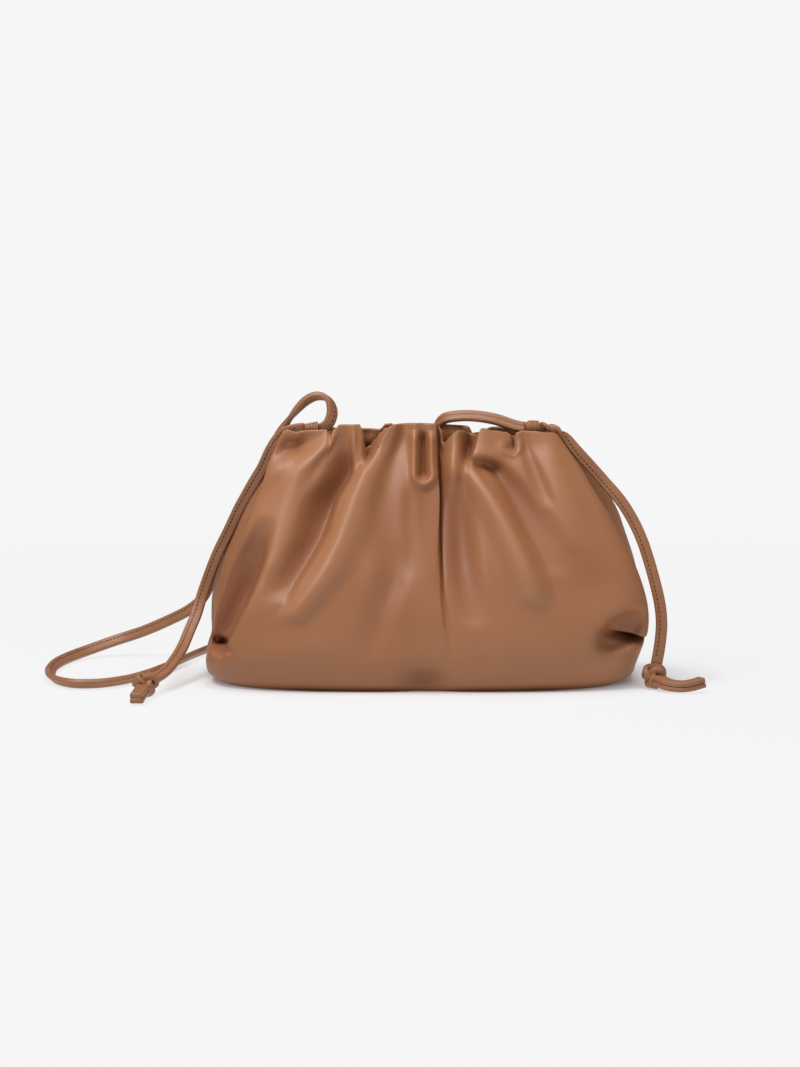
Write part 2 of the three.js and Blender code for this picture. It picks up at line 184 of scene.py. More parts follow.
def strap_section(width, thickness, groove=GROOVE_DEPTH):
    """Points round the section as (out of the face, across it)."""
    half_w, half_t = width / 2, thickness / 2
    edge = half_t * EDGE_ROUNDING
    corners = []
    for turn in range(4):
        centre_x = (half_t - edge) * (1 if turn in (0, 3) else -1)
        centre_y = (half_w - edge) * (1 if turn in (0, 1) else -1)
        for step in range(EDGE_STEPS + 1):
            angle = math.pi / 2 * (turn + step / EDGE_STEPS)
            corners.append((centre_x + edge * math.cos(angle), centre_y + edge * math.sin(angle)))
        if turn == 1:
            lip = half_t * GROOVE_SINK
            corners += [
                (-lip, half_w * GROOVE_LIP),
                (-lip, GROOVE_WIDTH),
                (groove - half_t, 0.0),
                (-lip, -GROOVE_WIDTH),
                (-lip, -half_w * GROOVE_LIP),
            ]
        if turn == 3:
            corners += [(half_t, -half_w * SEAM_BAND), (half_t, half_w * SEAM_BAND)]
    return np.array(corners)


def section_rings(points, out, across, section):
    """The section set up at each point, in the directions out of the face and across it."""
    return (
        points[:, None, :]
        + out[:, None, :] * section[None, :, 0:1]
        + across[:, None, :] * section[None, :, 1:2]
    )


def sweep(name, points, face, section, twist=None):
    """A closed strip that follows the points, its face turned by the twist at each."""
    along, out, across = carried_frames(points, face)
    if twist is not None:
        c, s = np.cos(twist)[:, None], np.sin(twist)[:, None]
        out, across = out * c + across * s, across * c - out * s
    rings = section_rings(points, out, across, section)
    faces = ring_faces(len(points), len(section))
    return mesh_object(name, rings.reshape(-1, 3), faces), (along, out, across)


print("strap section has", len(strap_section(STRAP_WIDTH, STRAP_THICKNESS)), "points")

# %% [markdown]
# The long strap leaves the left hitch, loops over the corner of the bag, runs down its left side and
# lies on its edge in a loop on the floor. It passes behind the bag, climbs its back and comes down
# into the right hitch. Each stop is x, y and z in millimetres, and the turn of the flat face in
# degrees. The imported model's tubes follow the same stops, so the leather lies where they are.

# %% Routes of the straps
LONG_STRAP = [
    (-55.1, 0.2, 133.2, 0), (-53.8, 0.4, 133.4, 0), (-50.6, 1.2, 136.0, 0), (-48.8, 3.0, 142.0, 20),
    (-51.2, 5.4, 148.4, 60), (-56.6, 7.0, 149.9, 80), (-62.2, 8.4, 147.6, 80), (-67.6, 9.8, 142.4, 60),
    (-72.6, 11.4, 136.0, 30), (-77.0, 12.8, 129.6, 10), (-81.0, 14.2, 121.8, 0), (-85.8, 17.2, 112.6, 0),
    (-92.0, 20.8, 102.4, 0), (-98.6, 22.4, 90.4, 0), (-104.9, 27.4, 77.6, 0), (-110.2, 33.0, 63.6, 0),
    (-114.6, 39.0, 49.6, 0), (-119.6, 45.0, 38.0, 0), (-128.0, 52.0, 29.4, 0), (-140.2, 60.0, 22.0, 0),
    (-156.0, 67.0, 14.4, 0), (-172.0, 69.0, 8.8, 0), (-186.0, 61.0, 4.8, 0), (-195.6, 43.0, 3.3, 0),
    (-199.6, 21.0, 3.2, 0), (-199.0, -4.0, 3.2, 0), (-193.6, -25.0, 3.2, 0), (-182.6, -36.6, 3.2, 0),
    (-170.0, -36.0, 3.2, 0), (-158.0, -26.0, 3.2, 0), (-148.6, -9.0, 3.2, 0), (-140.8, 12.0, 3.2, 0),
    (-133.6, 34.0, 3.2, 0), (-126.4, 58.0, 3.2, 0), (-117.0, 82.0, 3.2, 0), (-100.0, 102.0, 3.2, 0),
    (-72.0, 114.0, 3.2, 0), (-36.0, 119.0, 3.2, 0), (4.0, 120.0, 3.2, 0), (40.0, 116.0, 3.2, 0),
    (64.0, 103.0, 3.4, 0), (72.0, 84.0, 4.6, 0), (63.0, 67.0, 8.6, 0), (49.0, 59.0, 20.0, 0),
    (38.0, 56.4, 38.0, 0), (29.0, 51.0, 58.0, 0), (21.0, 41.0, 80.0, 0), (13.0, 28.6, 103.0, 0),
    (7.6, 19.0, 121.0, 0), (6.6, 13.2, 131.6, 0), (10.0, 8.6, 137.4, 0), (18.0, 5.6, 139.4, 0),
    (28.0, 3.6, 139.4, 0), (38.0, 1.8, 137.8, 0), (46.0, 0.6, 135.2, 0), (50.6, 0.1, 134.0, 0),
    (52.9, 0.0, 133.8, 0),
]
LEFT_TAIL = [
    (-63.7, 0.2, 133.2, 0), (-67.0, 0.2, 132.9, 0), (-73.0, 0.6, 131.4, 0), (-77.2, 1.6, 128.0, 0),
    (-81.4, 3.0, 121.6, 0), (-85.6, 5.0, 112.6, 0), (-91.6, 8.0, 102.0, 0), (-98.2, 11.6, 90.6, 0),
    (-104.2, 15.6, 78.0, 0), (-110.8, 18.2, 64.6, 0), (-116.0, 19.2, 51.4, 0), (-119.6, 18.0, 41.0, 0),
    (-122.2, 13.6, 32.4, 0), (-125.4, 4.6, 24.6, 0), (-128.2, -8.0, 17.8, 0), (-131.8, -23.0, 12.6, 0),
    (-135.6, -39.0, 9.4, 0), (-140.4, -51.7, 7.7, 0),
]
RIGHT_TAIL = [
    (61.5, 0.0, 133.8, 0), (65.0, 0.4, 133.4, 90), (68.6, 1.2, 132.0, 190), (73.0, 1.6, 129.4, 300),
    (79.0, 1.0, 122.8, 350), (86.4, -1.0, 114.8, 360), (95.2, -4.0, 105.0, 360), (103.2, -8.0, 95.8, 360),
    (109.6, -12.0, 85.6, 360), (114.4, -16.0, 74.8, 360), (118.0, -19.0, 63.6, 360),
    (120.9, -22.0, 52.8, 360), (123.0, -25.0, 42.8, 360), (123.7, -27.6, 33.2, 360),
    (122.8, -30.4, 23.6, 360), (120.8, -33.2, 13.2, 360),
]
ROUTE_STEP = 1.1 * MM
FACE_TO_FRONT = (0.0, -1.0, 0.0)


def strap(name, stops, node):
    """One stretch of the strap, swept along the line that it follows."""
    in_metres = [(x * MM, y * MM, z * MM, math.radians(turn)) for x, y, z, turn in stops]
    route, length = smooth_route(in_metres, ROUTE_STEP)
    section = strap_section(STRAP_WIDTH, STRAP_THICKNESS)
    piece, directions = sweep(name, route[:, :3], FACE_TO_FRONT, section, route[:, 3])
    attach(piece, "root")
    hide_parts(node)
    print(name, "is", round(length, 4), "m long")
    return piece, route[:, :3], directions, length


long_strap, long_line, long_directions, long_length = strap("long_strap", LONG_STRAP, "shoulder_strap")
left_tail, left_line, left_directions, left_length = strap("left_tail", LEFT_TAIL, "strap_tail_left")
right_tail, right_line, right_directions, right_length = strap("right_tail", RIGHT_TAIL, "strap_tail_right")

# %% [markdown]
# A row of stitches holds the folded strip together, beside the middle of its face. Each stitch is a
# short bead of thread that sinks into the leather at its two ends, and between two stitches the shade
# in the needle's hole is painted as a dark dot. All the stitches of one stretch are one mesh, made from
# one small bead that is copied along the row, and the holes are the same bead, flatter, in a near black
# that paints the shade inside them.

# %% Stitches along the straps
STITCH_PITCH = 2.3 * MM
STITCH_LENGTH = 1.5 * MM
STITCH_WIDTH = 0.5 * MM
STITCH_PROUD = 0.2 * MM
STITCH_MARGIN = 4.0 * MM
HOLE_LENGTH = 0.85 * MM
HOLE_WIDTH = 0.75 * MM
HOLE_PROUD = 0.12 * MM
BEAD_SIDES = 6


def bead():
    """A small round bead along X, one unit long and one unit thick, as points and faces."""
    points = []
    for ring in range(BEAD_SIDES):
        angle = math.pi * (ring + 0.5) / BEAD_SIDES
        radius = 0.5 * math.sin(angle)
        for i in range(BEAD_SIDES):
            turn = 2 * math.pi * i / BEAD_SIDES
            points.append((-0.5 * math.cos(angle), radius * math.cos(turn), radius * math.sin(turn)))
    return np.array(points), ring_faces(BEAD_SIDES, BEAD_SIDES)


def stitch_row(name, line, directions):
    """Stitches and holes of painted shade along the face of a strap, a pitch apart, in one mesh."""
    along, out, across = directions
    run = np.concatenate([[0], np.cumsum(np.linalg.norm(np.diff(line, axis=0), axis=1))])
    beads, bead_faces = bead()
    points, faces = [], []
    for at in np.arange(STITCH_MARGIN, run[-1] - STITCH_MARGIN, STITCH_PITCH):
        place, forward, up, side = (
            np.array([np.interp(at, run, values[:, i]) for i in range(3)])
            for values in (line, along, out, across)
        )
        surface = place + side * STRAP_WIDTH * SEAM_SHARE + up * STRAP_THICKNESS / 2
        between = surface + forward * STITCH_PITCH / 2
        for middle, long, wide, proud in (
            (surface, STITCH_LENGTH, STITCH_WIDTH, STITCH_PROUD),
            (between, HOLE_LENGTH, HOLE_WIDTH, HOLE_PROUD),
        ):
            start = len(points) * len(beads)
            reach = (long * forward, wide * side, 2 * proud * up)
            points.append(middle + sum(beads[:, i:i + 1] * reach[i] for i in range(3)))
            faces += [tuple(start + i for i in face) for face in bead_faces]
    piece = mesh_object(name, np.concatenate(points), faces)
    for i, polygon in enumerate(piece.data.polygons):
        # every second bead is a hole and takes the painted shade
        polygon.material_index = (i // len(bead_faces)) % 2
    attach(piece, "root")
    print(name, "has", len(points) // 2, "stitches")
    return piece


long_stitches = stitch_row("long_strap_stitches", long_line, long_directions)
left_stitches = stitch_row("left_tail_stitches", left_line, left_directions)
right_stitches = stitch_row("right_tail_stitches", right_line, right_directions)

# %% [markdown]
# Each hitch in the mouth is the strap wound round itself, in a little over four turns side by side,
# about a core. A helix gives the turns, drawn in slightly at both ends, where the winding grips.

# %% Hitches
HITCH_TURNS = 4.4
TURN_WIDTH = 1.95 * MM
TURN_THICKNESS = 1.5 * MM
TURN_SIDES = 12
WINDING_STEPS = 150
GRIP = 0.5 * MM
CORE_WIDTH = 5.2 * MM
CORE_THICKNESS = 2.6 * MM
CORE_GROOVE = 0.1 * MM
CORE_OVERLAP = 0.9 * MM
CORE_STEPS = 12


def hitch(name, node, radius_left, radius_right):
    """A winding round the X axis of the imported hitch, from the left radius to the right one."""
    low, high = (np.array(corner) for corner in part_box(node))
    centre = (low + high) / 2
    half = (high[0] - low[0]) / 2
    share = np.linspace(0, 1, WINDING_STEPS)
    angle = 2 * math.pi * HITCH_TURNS * share + math.pi / 2
    radius = radius_left + (radius_right - radius_left) * share - TURN_THICKNESS / 2
    radius = radius - GRIP * (2 * share - 1) ** 8
    line = np.stack(
        [(share * 2 - 1) * (half - TURN_WIDTH / 2), radius * np.cos(angle), radius * np.sin(angle)], axis=1
    )
    line += centre
    winding, _ = sweep("winding", line, (0, math.cos(angle[0]), math.sin(angle[0])), winding_section())
    reach = half + CORE_OVERLAP
    core_line = np.stack([centre + np.array([x, 0, 0]) for x in np.linspace(-reach, reach, CORE_STEPS)])
    core_section = strap_section(CORE_WIDTH, CORE_THICKNESS, groove=CORE_GROOVE)
    core, _ = sweep("core", core_line, FACE_TO_FRONT, core_section)
    piece = fuse(name, [winding, core])
    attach(piece, "root")
    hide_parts(node)
    print(name, "is", round(2 * half / MM, 1), "mm long")
    return piece


def winding_section():
    """A flat oval: the strap pulled narrow in the winding."""
    turns = [2 * math.pi * i / TURN_SIDES for i in range(TURN_SIDES)]
    return np.array([(TURN_THICKNESS / 2 * math.cos(t), TURN_WIDTH / 2 * math.sin(t)) for t in turns])


def fuse(name, parts):
    """Several meshes made into one object."""
    points, faces = [], []
    for part in parts:
        start = len(points)
        points += [tuple(vertex.co) for vertex in part.data.vertices]
        faces += [tuple(start + i for i in polygon.vertices) for polygon in part.data.polygons]
        bpy.data.objects.remove(part)
    return mesh_object(name, points, faces)


left_hitch = hitch("left_hitch", "strap_hitch_left", 2.6 * MM, 3.8 * MM)
right_hitch = hitch("right_hitch", "strap_hitch_right", 3.8 * MM, 3.6 * MM)

# %% [markdown]
# An overhand knot ends each tail. Its line is a trefoil, which is what an overhand knot becomes when
# its ends are joined, and the flat strap is swept round it. A trefoil has a short formula, and two
# turns tip it over and spin it to the place where it lies.

# %% The knot itself
KNOT_SCALE = 1.72 * MM
KNOT_WIDTH = 6.6 * MM
KNOT_THICKNESS = 3.0 * MM
KNOT_GROOVE = 0.25 * MM
KNOT_HEIGHT = 1.15
KNOT_STEPS = 170


def turn_matrix(lean, spin):
    """A turn about X by the lean, then about Z by the spin, in degrees."""
    a, b = math.radians(lean), math.radians(spin)
    about_x = np.array([(1, 0, 0), (0, math.cos(a), -math.sin(a)), (0, math.sin(a), math.cos(a))])
    about_z = np.array([(math.cos(b), -math.sin(b), 0), (math.sin(b), math.cos(b), 0), (0, 0, 1)])
    return about_z @ about_x


def trefoil(centre, lean, spin):
    """The strap swept round a trefoil, and the middle of the trefoil."""
    t = np.linspace(0, 2 * math.pi, KNOT_STEPS, endpoint=False)
    line = np.stack(
        [np.sin(t) + 2 * np.sin(2 * t), np.cos(t) - 2 * np.cos(2 * t), -KNOT_HEIGHT * np.sin(3 * t)], axis=1
    )
    line = KNOT_SCALE * line @ turn_matrix(lean, spin).T + np.array(centre) * MM
    middle = line.mean(axis=0)
    along = np.roll(line, -1, axis=0) - np.roll(line, 1, axis=0)
    along /= np.linalg.norm(along, axis=1)[:, None]
    out = line - middle
    out -= along * (out * along).sum(axis=1)[:, None]
    out /= np.linalg.norm(out, axis=1)[:, None]
    section = strap_section(KNOT_WIDTH, KNOT_THICKNESS, groove=KNOT_GROOVE)
    rings = section_rings(line, out, np.cross(along, out), section)
    around = len(section)
    faces = ring_faces(KNOT_STEPS, around, close_ends=False)
    last = (KNOT_STEPS - 1) * around
    faces += [(last + i, last + (i + 1) % around, (i + 1) % around, i) for i in range(around)]
    return mesh_object("knot", rings.reshape(-1, 3), faces), middle


print("the line of a knot reaches", round(3 * KNOT_SCALE / MM, 1), "mm from its middle")

# %% [markdown]
# The tail runs into its knot by a short neck, and beyond the knot a stub of the strap sticks out. It
# is cut across, so the two plies of the folded strip show as two layers. Stops and places are in
# millimetres, as in the routes.

# %% End knots
LEFT_KNOT = (-143.6, -58.0, 6.9)
RIGHT_KNOT = (119.4, -34.0, 6.9)
NECK_WIDTH = 5.82 * MM
NECK_THICKNESS = 2.85 * MM
NECK_OVERLAP = 0.8 * MM
NECK_REACH = 2.0 * MM
PLY_THICKNESS = 2.55 * MM
PLY_GROOVE = 0.05 * MM
PLY_OFFSET = 0.52
STUB_WIDTH = 6.8 * MM
STUB_STEP = 0.8 * MM
LEFT_STUB = [(-144.4, -60.0, 5.0), (-145.0, -68.0, 4.4), (-145.6, -76.0, 4.0), (-146.0, -84.0, 3.8)]
RIGHT_STUB = [
    (121.0, -38.0, 5.4), (126.6, -45.6, 4.0), (133.4, -48.6, 3.8), (139.0, -47.8, 4.6), (143.4, -45.8, 5.6),
]


def neck(tail, tail_out, middle):
    """The last of the tail, from just inside its end to the middle of the knot."""
    into = tail[-1] - tail[-2]
    into /= np.linalg.norm(into)
    line, _ = smooth_route([tail[-1] - into * NECK_OVERLAP, tail[-1] + into * NECK_REACH, middle], STUB_STEP)
    return sweep("neck", line, tail_out, strap_section(NECK_WIDTH, NECK_THICKNESS))[0]


def stub_plies(stub):
    """The two plies of the strap beyond the knot, one on the other."""
    route, _ = smooth_route([(x * MM, y * MM, z * MM) for x, y, z in stub], STUB_STEP)
    _, out, _ = carried_frames(route, (0, 0, 1))
    section = strap_section(STUB_WIDTH, PLY_THICKNESS, groove=PLY_GROOVE)
    moves = (side * PLY_THICKNESS * PLY_OFFSET for side in (-1, 1))
    return [sweep("ply", route + out * move, (0, 0, 1), section)[0] for move in moves]


def end_knot(name, node, centre, stub, tail, tail_out, lean, spin):
    """A trefoil of strap with a two-ply stub, and a neck that runs into it from the end of the tail."""
    knot, middle = trefoil(centre, lean, spin)
    piece = fuse(name, [knot, neck(tail, tail_out, middle), *stub_plies(stub)])
    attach(piece, "root")
    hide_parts(node)
    size = np.ptp([vertex.co for vertex in piece.data.vertices], axis=0) / MM
    print(name, "measures", size.round(1), "mm")
    return piece


left_knot = end_knot(
    "left_knot", "end_knot_left", LEFT_KNOT, LEFT_STUB, left_line, left_directions[1][-1], lean=62, spin=10
)
right_knot = end_knot(
    "right_knot", "end_knot_right", RIGHT_KNOT, RIGHT_STUB, right_line, right_directions[1][-1],
    lean=70, spin=-30,
)

# %% [markdown]
# A strap is flexible and has a fixed length. The long one goes back into the bag, and the two tails end
# in their knots. Here the lengths of the three stretches are added up. A flat strap's diameter is its width.

print("strap in all:", round(long_length + left_length + right_length, 3), "m")

# %% [markdown]
# The pouch is one skin of leather that is gathered at the mouth and stands on a flat base. It could
# be cut and sewn by a cloth simulation, but the folds of the photograph are particular ones, so they
# are worked out instead. A stack of sections gives the body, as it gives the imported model, and a
# list of folds, tucks and dents then moves the skin in and out.

# %% Sections of the pouch
SECTION_NAMES = (
    "front_left", "back_left", "front_right", "back_right", "front", "back",
    "gusset_left", "gusset_right", "square_left", "square_right",
)
# height, and then the columns that SECTION_NAMES lists
SECTIONS = [
    (0.00, 0.905, 0.935, 0.865, 0.885, 0.84, 0.84, 0.00, 0.00, 3.2, 3.2),
    (0.03, 0.968, 0.985, 0.930, 0.950, 0.93, 0.93, 0.00, 0.00, 3.4, 3.4),
    (0.08, 0.993, 1.010, 0.958, 0.974, 0.98, 0.98, 0.02, 0.02, 3.8, 3.8),
    (0.125, 0.988, 1.005, 0.975, 0.988, 1.00, 1.00, 0.04, 0.04, 4.3, 4.3),
    (0.16, 0.978, 1.000, 0.988, 0.996, 1.00, 1.00, 0.12, 0.09, 4.6, 4.8),
    (0.22, 0.965, 0.998, 1.005, 1.005, 0.98, 0.98, 0.13, 0.08, 5.0, 5.6),
    (0.31, 0.945, 0.992, 1.002, 1.003, 0.95, 0.95, 0.14, 0.11, 5.2, 6.5),
    (0.43, 0.908, 0.962, 0.963, 0.978, 0.86, 0.86, 0.14, 0.18, 4.6, 8.0),
    (0.56, 0.856, 0.909, 0.896, 0.928, 0.71, 0.71, 0.14, 0.28, 3.6, 9.5),
    (0.68, 0.812, 0.857, 0.823, 0.876, 0.56, 0.56, 0.12, 0.32, 3.2, 10.0),
    (0.79, 0.764, 0.799, 0.750, 0.800, 0.42, 0.42, 0.12, 0.32, 3.2, 9.0),
    (0.88, 0.732, 0.754, 0.695, 0.728, 0.29, 0.29, 0.14, 0.28, 3.6, 8.0),
    (0.945, 0.687, 0.690, 0.648, 0.666, 0.20, 0.20, 0.16, 0.24, 4.5, 7.0),
    (1.00, 0.650, 0.650, 0.612, 0.617, 0.16, 0.16, 0.17, 0.20, 6.0, 6.0),
]


def smooth_table(rows, at):
    """The columns after the first, on a smooth curve through the rows, at places in the first."""
    rows = np.array(sorted(rows), float)
    x, values = rows[:, 0], rows[:, 1:]
    at = np.clip(at, x[0], x[-1])
    slope = np.diff(values, axis=0) / np.diff(x)[:, None]
    tangent = np.concatenate([slope[:1], (slope[1:] + slope[:-1]) / 2, slope[-1:]])
    i = np.clip(np.searchsorted(x, at, side="right") - 1, 0, len(x) - 2)
    width = (x[i + 1] - x[i])[:, None]
    t = (at - x[i])[:, None] / width
    found = (
        (2 * t**3 - 3 * t**2 + 1) * values[i]
        + (t**3 - 2 * t**2 + t) * width * tangent[i]
        + (3 * t**2 - 2 * t**3) * values[i + 1]
        + (t**3 - t**2) * width * tangent[i + 1]
    )
    return found.T


def smoothstep(values, low, high):
    t = np.clip((values - low) / (high - low), 0, 1)
    return t * t * (3 - 2 * t)


def ease_table(rows, at):
    """One value between the rows of a table, eased so that it never runs past a row."""
    rows = np.array(rows, float)
    i = np.clip(np.searchsorted(rows[:, 0], at) - 1, 0, len(rows) - 2)
    t = np.clip((at - rows[i, 0]) / (rows[i + 1, 0] - rows[i, 0]), 0, 1)
    return rows[i, 1] + (rows[i + 1, 1] - rows[i, 1]) * t * t * (3 - 2 * t)


print(len(SECTIONS), "sections from the base to the rim, with", len(SECTION_NAMES), "measures each")

# %% [markdown]
# Each fold is followed down the front by a few stops: the height, the place across, how far it
# stands out or in, how wide its left and right flanks are, and how far it leans sideways. A narrow
# flank makes a sharp edge, and a wide one a soft slope. Heights are shares of the bag's height,
# places and flanks of half its width, rises and leans of half its depth. A fold that doesn't lean has
# no lean in its stops.

